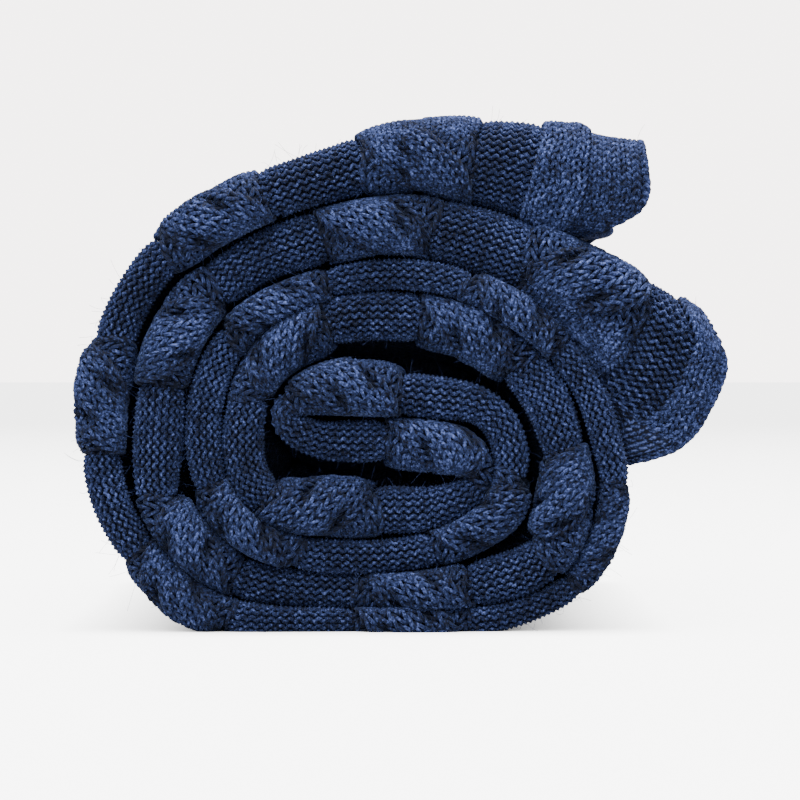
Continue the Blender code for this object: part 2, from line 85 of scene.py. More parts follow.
# x, z, reach to the left and reach to the right of the strip's middle line, seen from the front fold
windingRows = [
    # upper loose end and over the top
    (70.0, 133.0, 14.5, 14.5), (59.5, 134.0, 15.0, 15.0), (49.5, 135.5, 16.0, 16.0),
    (32.5, 139.5, 13.5, 14.0), (16.0, 142.0, 11.5, 11.5), (5.0, 143.0, 9.0, 9.5), (-18.5, 138.5, 8.0, 7.5),
    (-41.0, 131.0, 7.0, 7.0), (-56.0, 124.0, 6.5, 6.0),
    # outer turn, down the left side, along the bottom and up the right side
    (-72.0, 112.5, 5.5, 5.5), (-82.0, 98.5, 5.5, 5.5), (-87.5, 84.5, 6.0, 5.5), (-90.0, 69.5, 6.0, 5.5),
    (-90.5, 54.5, 5.5, 5.5), (-87.5, 38.0, 5.5, 5.0), (-80.5, 25.0, 5.5, 4.5), (-69.0, 13.0, 5.0, 5.0),
    (-53.0, 5.5, 4.0, 5.5), (-27.5, 3.6, 3.5, 4.5), (-0.5, 3.2, 3.5, 4.5), (23.5, 3.8, 3.0, 4.5),
    (41.5, 8.2, 3.0, 3.5), (55.5, 17.5, 3.5, 3.5), (62.0, 30.5, 3.5, 3.5), (64.0, 44.0, 3.5, 4.0),
    (61.5, 57.5, 4.0, 4.0), (57.0, 71.0, 4.0, 4.5), (48.0, 84.5, 4.0, 5.0), (34.0, 96.5, 4.0, 4.5),
    (19.0, 104.0, 4.0, 4.0), (-0.5, 107.5, 4.0, 4.0), (-18.5, 105.5, 4.0, 4.0),
    # inner turn, in to the cross fold
    (-35.0, 99.5, 4.0, 4.0), (-48.5, 90.5, 4.5, 4.5), (-56.5, 78.0, 5.0, 4.5), (-59.5, 63.5, 5.0, 5.0),
    (-58.5, 50.0, 5.0, 5.0), (-52.0, 36.0, 4.5, 5.0), (-39.0, 26.5, 4.0, 5.0), (-20.0, 22.5, 4.5, 4.5),
    (-0.5, 23.0, 4.5, 4.5), (16.5, 27.5, 4.5, 5.0), (28.5, 37.0, 5.0, 5.0), (33.0, 51.0, 5.0, 5.0),
    (30.0, 62.0, 5.0, 5.0), (24.0, 67.5, 5.0, 5.0), (12.0, 70.0, 6.0, 6.0), (-0.5, 71.5, 6.0, 6.0),
    (-15.5, 72.5, 6.0, 6.5), (-26.0, 71.5, 5.0, 6.0),
    # cross fold
    (-32.0, 68.7, 3.8, 5.5), (-34.2, 65.3, 3.0, 4.5), (-29.5, 60.3, 3.8, 5.5),
    # inner turn, out again
    (-17.0, 57.5, 5.5, 6.0), (-0.5, 57.5, 5.5, 6.0), (11.5, 56.0, 6.0, 6.0), (21.0, 51.5, 5.5, 5.0),
    (22.5, 44.5, 5.0, 4.0), (15.0, 38.5, 6.0, 5.5), (-0.5, 36.5, 7.0, 6.5), (-24.5, 36.5, 7.0, 6.5),
    (-41.0, 39.5, 6.5, 6.0), (-47.5, 50.5, 5.5, 6.0), (-47.5, 63.5, 5.5, 6.0), (-44.0, 75.5, 5.5, 6.0),
    (-34.5, 86.5, 6.0, 6.5), (-21.5, 93.5, 6.5, 7.0), (-0.5, 95.0, 7.0, 7.0), (14.5, 93.0, 6.0, 6.5),
    # outer turn of the lower half
    (30.5, 85.5, 6.5, 7.0), (42.0, 73.0, 7.0, 7.0), (48.0, 57.5, 6.0, 6.0), (50.5, 39.5, 5.5, 6.5),
    (45.5, 23.5, 5.5, 7.0), (28.0, 15.0, 6.5, 7.0), (4.0, 11.5, 5.0, 5.0), (-24.5, 12.0, 5.5, 5.5),
    (-47.0, 15.5, 5.5, 6.0), (-62.5, 25.0, 5.5, 6.0), (-73.0, 41.0, 6.0, 5.5), (-73.5, 57.5, 7.0, 8.0),
    (-72.0, 74.0, 6.5, 7.0), (-68.0, 87.5, 6.0, 6.5), (-60.5, 99.0, 6.0, 6.0),
    # lower loose end
    (-51.0, 107.5, 6.5, 7.0), (-40.5, 113.5, 7.0, 7.0), (-27.5, 118.0, 7.5, 8.0), (-7.5, 122.5, 6.5, 7.0),
    (23.5, 119.0, 8.0, 8.5), (38.5, 113.0, 8.5, 9.5), (54.0, 106.5, 7.0, 14.5), (72.0, 97.0, 8.0, 25.0),
    (88.0, 87.5, 8.0, 41.0),
]

# how far the edge of a loose end stands out, from the left side of its lip (-1) to the right (1)
upperRim = {
    "turns": (-1.0, -0.75, -0.48, 0.28, 1.0),
    "stands": (-0.014, -0.005, 0.001, 0.0034, 0.0013),
    "reach": 0.034,
}
lowerRim = {
    "turns": (-1.0, -0.71, -0.32, 0.05, 0.58, 1.0),
    "stands": (-0.001, 0.0098, 0.0142, 0.0150, 0.0122, 0.0025),
    "reach": 0.062,
}


def smoothStep(t):
    t = np.clip(t, 0, 1)
    return t * t * (3 - 2 * t)


def smoothLine(knots, values, places):
    # natural cubic spline
    count = len(knots)
    gaps = np.diff(knots)
    matrix = np.zeros((count, count))
    bends = np.zeros((count, values.shape[1]))
    matrix[0, 0] = matrix[-1, -1] = 1
    for i in range(1, count - 1):
        matrix[i, i - 1 : i + 2] = gaps[i - 1], 2 * (gaps[i - 1] + gaps[i]), gaps[i]
        bends[i] = 6 * ((values[i + 1] - values[i]) / gaps[i] - (values[i] - values[i - 1]) / gaps[i - 1])
    second = np.linalg.solve(matrix, bends)
    i = np.clip(np.searchsorted(knots, places) - 1, 0, count - 2)
    gap = gaps[i][:, None]
    after = (knots[i + 1] - places)[:, None]
    before = (places - knots[i])[:, None]
    curved = (second[i] * after**3 + second[i + 1] * before**3) / (6 * gap)
    first = (values[i] / gap - second[i] * gap / 6) * after
    return curved + first + (values[i + 1] / gap - second[i + 1] * gap / 6) * before


def runLength(points):
    # distance along a line of points, from its first
    return np.concatenate([[0], np.cumsum(np.hypot(*np.diff(points, axis=0).T))])


def eased(values):
    # the least of each value and its neighbours, smoothed
    padded = np.pad(values, 1, mode="edge")
    padded = np.pad(np.min([padded[:-2], padded[1:-1], padded[2:]], axis=0), 1, mode="edge")
    return np.mean([padded[:-2], padded[1:-1], padded[2:]], axis=0)


def windStrip():
    rows = np.array(windingRows) / 1000
    knots = runLength(rows[:, :2])
    fine = np.linspace(0, knots[-1], cloth["linePoints"])
    line = smoothLine(knots, rows[:, :2], fine)
    along = runLength(line)
    way = np.gradient(line, axis=0)
    way /= np.hypot(*way.T)[:, None]
    turn = np.gradient(np.unwrap(np.arctan2(way[:, 1], way[:, 0]))) / np.gradient(along)
    radius = 1 / np.maximum(np.abs(turn), cloth["leastTurn"])
    along *= cloth["length"] / along[-1]
    side = np.stack([way[:, 1], -way[:, 0]], axis=1)
    widths = np.stack([np.interp(fine, knots, rows[:, 2]), np.interp(fine, knots, rows[:, 3])], axis=1)
    # neighbouring turns share the room between them
    picked = np.arange(0, cloth["linePoints"], cloth["roomEvery"])
    points = line[picked]
    inside = np.stack([turn[picked] > 0, turn[picked] <= 0], axis=1)
    limits = np.where(inside, cloth["bendShare"] * radius[picked][:, None], 1.0)
    for k in range(len(picked)):
        offset = points - points[k]
        distance = np.hypot(*offset.T)
        apart = np.abs(along[picked] - along[picked[k]]) > cloth["ownStretch"]
        inLine = np.abs(offset @ way[picked[k]]) < cloth["lookWidth"] + cloth["lookSpread"] * distance
        otherRight = (side[picked] * -offset).sum(axis=1) > 0
        other = np.where(otherRight, widths[picked, 1], widths[picked, 0]) + cloth["roomSkin"]
        for column, facing in ((0, -1), (1, 1)):
            ahead = apart & inLine & (offset @ (facing * side[picked[k]]) > 0)
            own = widths[picked[k], column] + cloth["roomSkin"]
            if ahead.any():
                share = distance[ahead] * own / (own + other[ahead]) - cloth["leastGap"] / 2
                limits[k, column] = min(limits[k, column], share.min())
    limit = np.stack([np.interp(along, along[picked], eased(limits[:, c])) for c in (0, 1)], axis=1)
    # the lower loose end hangs past the roll's side, clear of it
    limit[:, 1] += cloth["flapMore"] * smoothStep((along - cloth["flapStart"]) / cloth["flapRun"])
    pressing = cloth["flapPress"] * smoothStep((along - cloth["flapPressFrom"]) / cloth["flapPressRun"])
    reach = np.minimum(widths + cloth["swell"], limit + cloth["pressed"]) + pressing[:, None] * [0, 1]
    limit[:, 0] += smoothStep((cloth["mouthUpper"] - along) / cloth["mouthRun"])
    limit[:, 0] += smoothStep((along - cloth["mouthLower"]) / cloth["mouthRun"])
    return {"along": along, "line": line, "way": way, "radius": radius, "reach": reach, "limit": limit}


strip = windStrip()
print("strip wound, metres:", round(float(strip["along"][-1]), 4))


def readStrip(name, place):
    values = strip[name]
    if values.ndim == 1:
        return np.interp(place, strip["along"], values)
    return np.stack([np.interp(place, strip["along"], values[:, c]) for c in range(2)], axis=-1)


def fillShare(limit, depth):
    # how far a turn has swollen into the gap towards a near neighbour
    near = smoothStep((cloth["fillFar"] - limit) / cloth["fillRange"])
    return near * smoothStep((depth - cloth["fillStart"]) / cloth["fillReach"])


def sagAt(reach, limit, depth, nose):
    # the lip dies away behind the front, and the turns swell into the gaps to near neighbours
    flat = np.minimum(reach, bodyHalf)
    plain = flat + (reach - flat) * np.exp(-((np.maximum(0, depth - nose) / cloth["sagDepth"]) ** 2))
    return plain + np.maximum(0, limit - plain) * fillShare(limit, depth)


def noseCurve(angle):
    # a lip's rounded front, a little squarer than an ellipse: share of its width, and of its depth
    angle = np.minimum(angle, math.pi / 2 - 1e-9)
    return np.sin(angle) ** cloth["noseShape"], 1 - np.cos(angle) ** cloth["noseShape"]


rimTurns = np.linspace(-1, 1, cloth["rimSteps"])
for rim in (upperRim, lowerRim):
    rim["curve"] = smoothLine(np.array(rim["turns"]), np.array(rim["stands"])[:, None], rimTurns)[:, 0]


def rimStand(place, across, depth):
    stand = np.zeros(np.broadcast(place, across, depth).shape)
    for rim, gone, sign in ((upperRim, place, -1), (lowerRim, cloth["length"] - place, 1)):
        shape = np.interp(2 * across - 1, rimTurns, rim["curve"])
        fade = np.clip(1 - gone / rim["reach"], 0, 1) ** cloth["rimPower"]
        stand = stand + sign * shape * fade * np.exp(-((depth / cloth["rimDepth"]) ** 2))
    return stand


# The outside of the strip as a table: place along the strip, and way round from the front fold.
mapSize = {
    "placeStep": 0.0007,
    "nearStep": 0.0005,
    "nearReach": 0.045,
    "farStep": 0.0025,
    "farReach": 0.337,
    "noseSteps": 24,
    "depths": ((0.002, 0.05, 0.002), (0.05, 0.345, 0.006)),  # behind the nose: first, end and step
}


def buildMap():
    places = np.linspace(0, cloth["length"], int(cloth["length"] / mapSize["placeStep"]) + 1)
    near = np.arange(0, mapSize["nearReach"], mapSize["nearStep"])
    far = np.arange(mapSize["nearReach"], mapSize["farReach"], mapSize["farStep"])
    around = np.concatenate([near, far])
    line = readStrip("line", places)
    way = readStrip("way", places)
    way /= np.hypot(*way.T)[:, None]
    side = np.stack([way[:, 1], -way[:, 0]], axis=1)
    reach = readStrip("reach", places)
    limit = readStrip("limit", places)
    nose = np.minimum(reach.mean(axis=1), cloth["noseReach"])
    slow, quick = cloth["frontWaves"]
    front = -rollDepth / 2 + cloth["noseWander"] * (np.sin(slow * places) + np.sin(quick * places) / 2)
    halves = []
    arcs = []
    for column in (0, 1):
        wide, deep = noseCurve(np.linspace(0, math.pi / 2, mapSize["noseSteps"] + 1))
        behind = nose[:, None] + np.concatenate([np.arange(*run) for run in mapSize["depths"]])
        own = reach[:, column, None]
        sagged = sagAt(own, limit[:, column, None], behind, nose[:, None])
        offset = np.concatenate([own * wide, sagged], axis=1)
        depth = np.concatenate([nose[:, None] * deep, behind], axis=1)
        steps = [np.diff(part, axis=1, prepend=0) for part in (offset, depth)]
        arc = np.cumsum(np.hypot(*steps), axis=1)
        arcs.append(arc[:, mapSize["noseSteps"]])
        rowOffset = np.array([np.interp(around, arc[i], offset[i]) for i in range(len(places))])
        rowDepth = np.array([np.interp(around, arc[i], depth[i]) for i in range(len(places))])
        halves.append((rowOffset, rowDepth))
    offset = np.concatenate([-halves[0][0][:, :0:-1], halves[1][0]], axis=1)
    depth = np.concatenate([halves[0][1][:, :0:-1], halves[1][1]], axis=1)
    around = np.concatenate([-around[:0:-1], around])
    settled = np.maximum(depth, nose[:, None])
    left = sagAt(reach[:, :1], limit[:, :1], settled, nose[:, None])
    right = sagAt(reach[:, 1:], limit[:, 1:], settled, nose[:, None])
    stand = rimStand(places[:, None], (offset + left) / (left + right), settled)
    x = line[:, :1] + side[:, :1] * offset + way[:, :1] * stand + cloth["shiftX"]
    z = line[:, 1:] + side[:, 1:] * offset + way[:, 1:] * stand
    y = front[:, None] + depth + cloth["shiftY"]
    point = np.stack([x, y, z], axis=-1)
    normal = np.cross(np.gradient(point, axis=1), np.gradient(point, axis=0))
    normal /= np.linalg.norm(normal, axis=-1, keepdims=True)
    sideways = normal[..., 0] * side[:, :1] + normal[..., 2] * side[:, 1:]
    depths = rollDepth / 2 + cloth["noseWander"] * np.sin(cloth["backWave"] * places) - front
    return {"places": places, "around": around, "point": point, "normal": normal, "sideways": sideways,
            "depths": depths, "arcs": np.stack(arcs, axis=1), "nose": nose, "front": front, "reach": reach,
            "limit": limit, "way": way, "side": side, "line": line}


clothMap = buildMap()
print("cloth map", clothMap["point"].shape)


def mapRow(place):
    # the table's row at a place along the strip
    rows = len(clothMap["places"])
    return np.clip((np.asarray(place) / cloth["length"] * (rows - 1)).astype(int), 0, rows - 1)


def mapStep(axis, value):
    # the step of one of the table's axes that holds a value, and how far across it the value lies
    i = np.clip(np.searchsorted(axis, value) - 1, 0, len(axis) - 2)
    return i, np.clip((value - axis[i]) / (axis[i + 1] - axis[i]), 0, 1)


def mapRead(name, place, around):
    table = clothMap[name]
    i, p = mapStep(clothMap["places"], place)
    j, q = mapStep(clothMap["around"], around)
    if table.ndim == 3:
        p = p[..., None]
        q = q[..., None]
    first = table[i, j] * (1 - q) + table[i, j + 1] * q
    return first * (1 - p) + (table[i + 1, j] * (1 - q) + table[i + 1, j + 1] * q) * p


def onCloth(place, around, height):
    # a point at this height over the strip's outside, kept off the neighbouring turns and the floor
    place = np.asarray(place, float)
    inside = np.clip(place, 0, cloth["length"])
    point = mapRead("point", inside, around)
    normal = mapRead("normal", inside, around)
    normal /= np.linalg.norm(normal, axis=-1, keepdims=True)
    sideways = mapRead("sideways", inside, around)
    column = (around > 0).astype(int)
    i = mapRow(inside)
    room = np.maximum(clothMap["limit"][i, column] - clothMap["reach"][i, column], 0)
    high = height * (1 - sideways**2) + np.minimum(height, room) * sideways**2
    way = np.zeros(point.shape)
    way[..., 0], way[..., 2] = clothMap["way"][i, 0], clothMap["way"][i, 1]
    point = point + normal * high[..., None] + way * (place - inside)[..., None]
    point[..., 2] = np.maximum(point[..., 2], cloth["floorClear"])
    return point


ropeWales = 6  # a cable is two ropes, each this many stitches wide
ropeMiddles = (ropeWales / 2, 1.5 * ropeWales)  # the front rope's and the other's, from the cable's start

# The knit: a plain edge, a plait, then cables by turns with purl panels, and a plait and plain edge again.
knit = {
    "wale": 0.00282,
    "course": 0.00228,
    "cableCourse": 0.68,  # rows are closer in the cables, as a share of the other rows
    "cableRaise": 0.0027,
    "ropeRound": 0.48,
    "ropeLift": 0.0021,
    "ropeSink": 0.0015,
    "slitDepth": 0.0030,
    "slitWidth": 0.9,  # in stitches
    "slitSpread": 1.8,
    "slitReach": 0.0034,
    "slitOpen": 0.0012,
    "dimpleDepth": 0.0040,
    "dimpleLong": 0.0041,  # a dimple is a crease beside the front rope: along the rope, and across it
    "dimpleAcross": 0.0015,
    "crossingPitch": 0.036,
    "crossingHalf": 0.0088,
    "crossingLift": 1.2,  # the ropes rise and sink over this share of a crossing
    "ropeTurn": 0.75,  # how far a rope's stitches turn with it
    "frontSpread": 0.02,
    "backSpread": 0.75,
    "cableWidth": 0.035,
    "upperPlait": (0.0240, 0.0155),
    "lowerPlait": (1.5185, 0.0075),
    "plaitRaise": 0.0033,
    "plaitShares": (0.65, 0.45),  # the upper and the lower plait, as shares of that height
    "plaitPitch": 0.0125,
    "plaitSway": 0.22,
    "plaitRound": 0.35,
    "plaitTwist": 0.0004,
    "plaitCrossing": 0.002,
    "edgeRaise": 0.0004,
    "purlSink": 0.0007,
    "purlSinkReach": 0.002,
    "leastPurl": 0.0006,
}
cableMiddles = [
    66.8, 133.1, 200.5, 267.5, 340.5, 410.0, 490.0, 567.5, 649.0, 725.5, 809.0,
    879.5, 948.6, 1017.0, 1080.0, 1145.0, 1205.5, 1277.5, 1347.0, 1418.6, 1484.0,
]
# cables that lie squashed, by their order along the strip: share of the usual height
pressedCables = {0: 0.70, 1: 0.85, 2: 0.80, 3: 0.65, 5: 0.25}
# the dimples where each cable's ropes part, in millimetres: (from its middle, round from the front fold)
cableDimples = [
    [(4.0, 1.0), (5.0, -5.0)], [(6.1, -3.6), (-3.0, 2.6)], [(-4.0, -1.6), (5.0, 4.4)],
    [(5.0, -3.4), (-4.4, 3.6)], [(4.6, -2.4), (-5.2, 4.0)], [(5.4, -4.0), (-4.0, 2.2)],
    [(4.4, -3.0), (-5.0, 3.4)], [(5.9, -3.7), (-4.2, 3.4)], [(5.0, -2.0), (-4.6, 4.6)],
    [(4.2, -4.2), (-5.4, 2.4)], [(1.0, -2.7), (-7.0, 3.0)], [(6.4, -5.0), (-4.2, 1.4)],
    [(3.2, 4.8), (-5.8, -2.3)], [(-5.0, -3.0), (7.3, 3.5)], [(5.0, -3.6), (-4.0, 3.0)],
    [(6.0, 1.5), (-0.3, 8.5)], [(4.8, -3.0), (-4.8, 3.6)], [(5.2, -4.2), (-4.2, 2.6)],
    [(4.4, -2.6), (-5.2, 4.2)], [(8.1, -3.0), (8.1, 1.0)], [(-6.0, -3.6), (3.1, 3.5)],
]


def knitRegions():
    bands = [("plait",) + knit["upperPlait"] + (knit["plaitCrossing"],)]
    for middle, dimples in zip(cableMiddles, cableDimples):
        bands.append(("cable", middle / 1000, knit["cableWidth"], (dimples[0][1] + dimples[1][1]) / 2000))
    bands.append(("plait",) + knit["lowerPlait"] + (-knit["plaitCrossing"],))
    reached = bands[0][1] - bands[0][2] / 2
    regions = [("edge", 0.0, reached, 0.0)]
    for kind, middle, width, crossing in bands:
        if middle - width / 2 - reached > knit["leastPurl"]:
            regions.append(("purl", reached, middle - width / 2, 0.0))
        regions.append((kind, max(reached, middle - width / 2), middle + width / 2, crossing))
        reached = middle + width / 2
    regions.append(("edge", reached, cloth["length"], 0.0))
    out = []
    first = 0
    for kind, start, end, crossing in regions:
        wales = 2 * ropeWales if kind == "cable" else max(1, round((end - start) / knit["wale"]))
        out.append({"kind": kind, "start": start, "end": end, "crossing": crossing, "first": first,
                    "wales": wales, "stitch": (end - start) / wales})
        if kind == "cable":
            order = sum(r["kind"] == "cable" for r in out) - 1
            dimples = cableDimples[order]
            out[-1]["raise"] = pressedCables.get(order, 1.0)
            out[-1]["dimples"] = [(a / 1000, b / 1000) for a, b in dimples]
            # the front rope runs between the dimples, so their order tells which way it leans
            out[-1]["mirrored"] = (dimples[0][0] - dimples[1][0]) * (dimples[0][1] - dimples[1][1]) > 0
        if kind == "plait":
            out[-1]["raise"] = knit["plaitShares"][int(start > cloth["length"] / 2)]
        first += wales
    return out


regions = knitRegions()
print("regions", len(regions), "wales", regions[-1]["first"] + regions[-1]["wales"])


def fromCrossing(around, middle):
    # signed distance from the nearest crossing, as they repeat round the strip
    pitch = knit["crossingPitch"]
    return (around - middle + pitch / 2) % pitch - pitch / 2


def ropeLine(region, around, over):
    # a rope's middle in wales, its turn, and how near the crossing's middle and its ends this is
    half = knit["crossingHalf"]
    off = fromCrossing(around, region["crossing"])
    t = np.clip(off / (2 * half) + 0.5, 0, 1)
    slope = 6 * ropeWales * t * (1 - t) / (2 * half) * (region["end"] - region["start"]) / region["wales"]
    turn = knit["ropeTurn"] * np.arctan(slope) * np.where(over, 1, -1)
    passed = ropeWales * smoothStep(t)
    middle = np.where(over, ropeMiddles[0] + passed, ropeMiddles[1] - passed)
    near = np.clip(1 - (off / (knit["crossingLift"] * half)) ** 2, 0, 1)
    ends = np.exp(-(((np.abs(off) - half) / knit["slitReach"]) ** 2))
    return middle, turn, near, ends


def ropeHeight(u, near, ends, over):
    # rounded rope of half the cable's wales, lifted or sunk where they cross, with a slit where they part
    local = np.where(u <= ropeWales, u - ropeMiddles[0], u - ropeMiddles[1]) / (ropeWales / 2)
    rounded = 1 - knit["ropeRound"] * np.clip(np.abs(local), 0, 1) ** 3
    slit = knit["slitDepth"] * ends * np.exp(-(((u - ropeWales) / knit["slitWidth"]) ** 2))
    return knit["cableRaise"] * rounded + np.where(over, knit["ropeLift"], -knit["ropeSink"]) * near - slit


def dimpleAt(region, place, around):
    # 1 in the dimples at the sides of the front rope, 0 away from them
    deep = np.zeros(np.shape(place))
    for along, turn in region["dimples"]:
        off = place - (region["start"] + region["end"]) / 2 - along
        turned = fromCrossing(around, turn) * (-1 if region["mirrored"] else 1)
        long, across = (off + turned) / math.sqrt(2), (off - turned) / math.sqrt(2)
        away = (long / knit["dimpleLong"]) ** 2 + (across / knit["dimpleAcross"]) ** 2
        deep = np.maximum(deep, np.exp(-away))
    return deep


def fromFront(region, count):
    # wales counted from the front rope's side, or back again
    return 2 * ropeWales - count if region["mirrored"] else count


def ropeSpread(near, over):
    return np.where(over, 1 + knit["frontSpread"] * near, 1 + knit["backSpread"] * near)


def stitchPlace(region, u, around):
    # u counts wales from the region's start; gives the place along the strip and round it, and the height
    width = region["stitch"]
    if region["kind"] == "cable":
        u = fromFront(region, u)
        over = u < ropeWales
        middle, turn, near, ends = ropeLine(region, around, over)
        local = (u - np.where(over, *ropeMiddles)) * ropeSpread(near, over) * width
        slit = ends * np.exp(-(((u - ropeWales) / knit["slitSpread"]) ** 2))
        parted = np.where(over, -1, 1) * knit["slitOpen"] * slit
        place = region["start"] + middle * width + local * np.cos(turn) + parted
        if region["mirrored"]:
            place = region["start"] + region["end"] - place
        lies = around - local * np.sin(turn)
        high = ropeHeight(u, near, ends, over) - knit["dimpleDepth"] * dimpleAt(region, place, lies)
        return place, lies, high * region["raise"]
    if region["kind"] == "plait":
        wave = np.sin(2 * math.pi * (around - region["crossing"]) / knit["plaitPitch"])
        local = 2 * u / region["wales"] - 1
        high = region["raise"] * knit["plaitRaise"] * (1 - knit["plaitRound"] * np.abs(local) ** 3)
        sway = knit["plaitSway"] * wave * (1 - local**2)
        twist = knit["plaitTwist"] * wave * np.sin(math.pi * local)
        return region["start"] + (u + sway) * width, around, high + twist
    high = np.zeros(np.shape(u))
    if region["kind"] == "edge":
        high = high + knit["edgeRaise"]
    else:
        # purl lies lower where a cable pulls it in
        edge = np.minimum(u, region["wales"] - u) * width
        high = high - knit["purlSink"] * np.exp(-((edge / knit["purlSinkReach"]) ** 2))
    return region["start"] + u * width, around, high


def knitSide(region):
    return 0.0 if region["kind"] == "purl" else 1.0


def regionShade(region, u, around):
    # painted highlight: cable, plait and edge yarn is painted paler, as if it caught more light; painted
    # shade at the ropes' edges, on the rope behind and in the slit
    tones = {"purl": 0.0, "edge": navy["edgeHighlight"]}
    shade = np.zeros(np.shape(u)) + tones.get(region["kind"], navy["raised"])
    if region["kind"] == "cable":
        u = fromFront(region, u)
        over = u < ropeWales
        near, ends = ropeLine(region, around, over)[2:]
        local = np.clip(np.abs(u - np.where(over, *ropeMiddles)) / (ropeWales / 2), 0, 1)
        shade -= navy["ropeEdge"] * local**4 * np.maximum(near, ends) + navy["ropeBehind"] * near * ~over
        shade -= navy["slitShade"] * ends * np.exp(-(((u - ropeWales) / navy["slitWidth"]) ** 2))
    return shade


# The yarn's colours, as tones from deep (0) to bright (1), and its shader.
navy = {
    "deep": (0.0022, 0.0037, 0.0130, 1.0),
    "mid": (0.0170, 0.0290, 0.0990, 1.0),
    "bright": (0.1300, 0.1780, 0.4500, 1.0),
    "midTone": 0.45,
    "base": 0.38,
    # painted highlight: cable and plait yarn, and a little of the edge yarn, is painted paler, as if it
    # caught more light
    "raised": 0.12,
    "edgeHighlight": 0.03,
    "ropeEdge": 0.28,  # a rope's rounded edges, and the rope that passes behind, lie in the other's shade
    "ropeBehind": 0.16,
    # painted shade: purl yarn that passes behind its neighbours is painted this much darker
    "purlTuckedShade": 0.38,
    "slitShade": 0.30,
    "slitWidth": 1.1,
    "dimpleShade": 0.48,
    "tuckedShade": 0.40,  # painted shade: yarn that passes behind its neighbours is painted this much darker
    "fineness": 1500.0,
    "broadScales": (480.0, 60.0),  # stitch by stitch, and the uneven dye
    "noises": ((3.0, 0.60), (1.0, 0.27), (1.0, 0.13)),  # detail and share of the fibres and of these two
    "contrast": 3.5,
    "stitchShading": 0.80,
    "stitchTop": 0.8,  # painted highlight on stitch tops above this relief, and painted shade in the hollows below it
    "fibreRelief": 0.25,
    "loopBump": (0.6, 0.0004),  # strength and distance
    "clothBump": (1.0, 0.0010),
    "roughness": 0.80,
    "specular": 0.22,
    "sheen": 0.12,
    "sheenRoughness": 0.40,
    "sheenTint": (0.40, 0.55, 1.0, 1.0),
}


def addNode(tree, kind, **values):
    node = tree.nodes.new(kind)
    for name, value in values.items():
        setattr(node, name, value)
    return node


def feed(tree, socket, value):
    if isinstance(value, bpy.types.NodeSocket):
        tree.links.new(value, socket)
    else:
        socket.default_value = value


def sums(tree, operation, first, second=0.0, third=0.0, clamp=False):
    node = addNode(tree, "ShaderNodeMath", operation=operation, use_clamp=clamp)
    for socket, value in zip(node.inputs, (first, second, third)):
        feed(tree, socket, value)
    return node.outputs[0]


def addSockets(tree, way, sockets):
    for label, kind in sockets:
        tree.interface.new_socket(label, in_out=way, socket_type="NodeSocket" + kind)


def makeGroup(name, inputs, outputs):
    group = bpy.data.node_groups.new(name, "ShaderNodeTree")
    addSockets(group, "INPUT", inputs)
    addSockets(group, "OUTPUT", outputs)
    return group, group.nodes.new("NodeGroupInput").outputs, group.nodes.new("NodeGroupOutput").inputs


def arch(tree, distance, width):
    # round profile of a yarn, from its middle line out
    share = sums(tree, "DIVIDE", distance, width)
    return sums(tree, "SQRT", sums(tree, "SUBTRACT", 1.0, sums(tree, "MULTIPLY", share, share), clamp=True))


def fibreGroup():
    # uneven dye, plies and fibres of the yarn: broad tone, stitch by stitch tone and fine streaks
    group, given, out = makeGroup("yarn fibres", [("Fineness", "Float"), ("Contrast", "Float")],
                                  [("Tone", "Float"), ("Height", "Float")])
    where = group.nodes.new("ShaderNodeTexCoord").outputs["Object"]
    noises = []
    tone = 0.0
    for scale, (detail, share) in zip((given["Fineness"],) + navy["broadScales"], navy["noises"]):
        noise = addNode(group, "ShaderNodeTexNoise", noise_dimensions="3D")
        feed(group, noise.inputs["Vector"], where)
        feed(group, noise.inputs["Scale"], scale)
        noise.inputs["Detail"].default_value = detail
        noises.append(noise.outputs[0])
        tone = sums(group, "MULTIPLY_ADD", noises[-1], share, tone)
    feed(group, out["Tone"], sums(group, "MULTIPLY", sums(group, "SUBTRACT", tone, 0.5), given["Contrast"]))
    feed(group, out["Height"], noises[0])
    return group


# One stitch's relief, in shares of its width and height.
stitchShape = {
    "purlBow": 0.12,
    "purlHead": 0.68,
    "purlSinker": 0.32,
    "purlHalf": 0.26,
    "legLean": 0.17,
    "leftLeg": 0.25,
    "rightLeg": 0.75,
    "legHalf": 0.21,
    "legReach": 0.62,
}


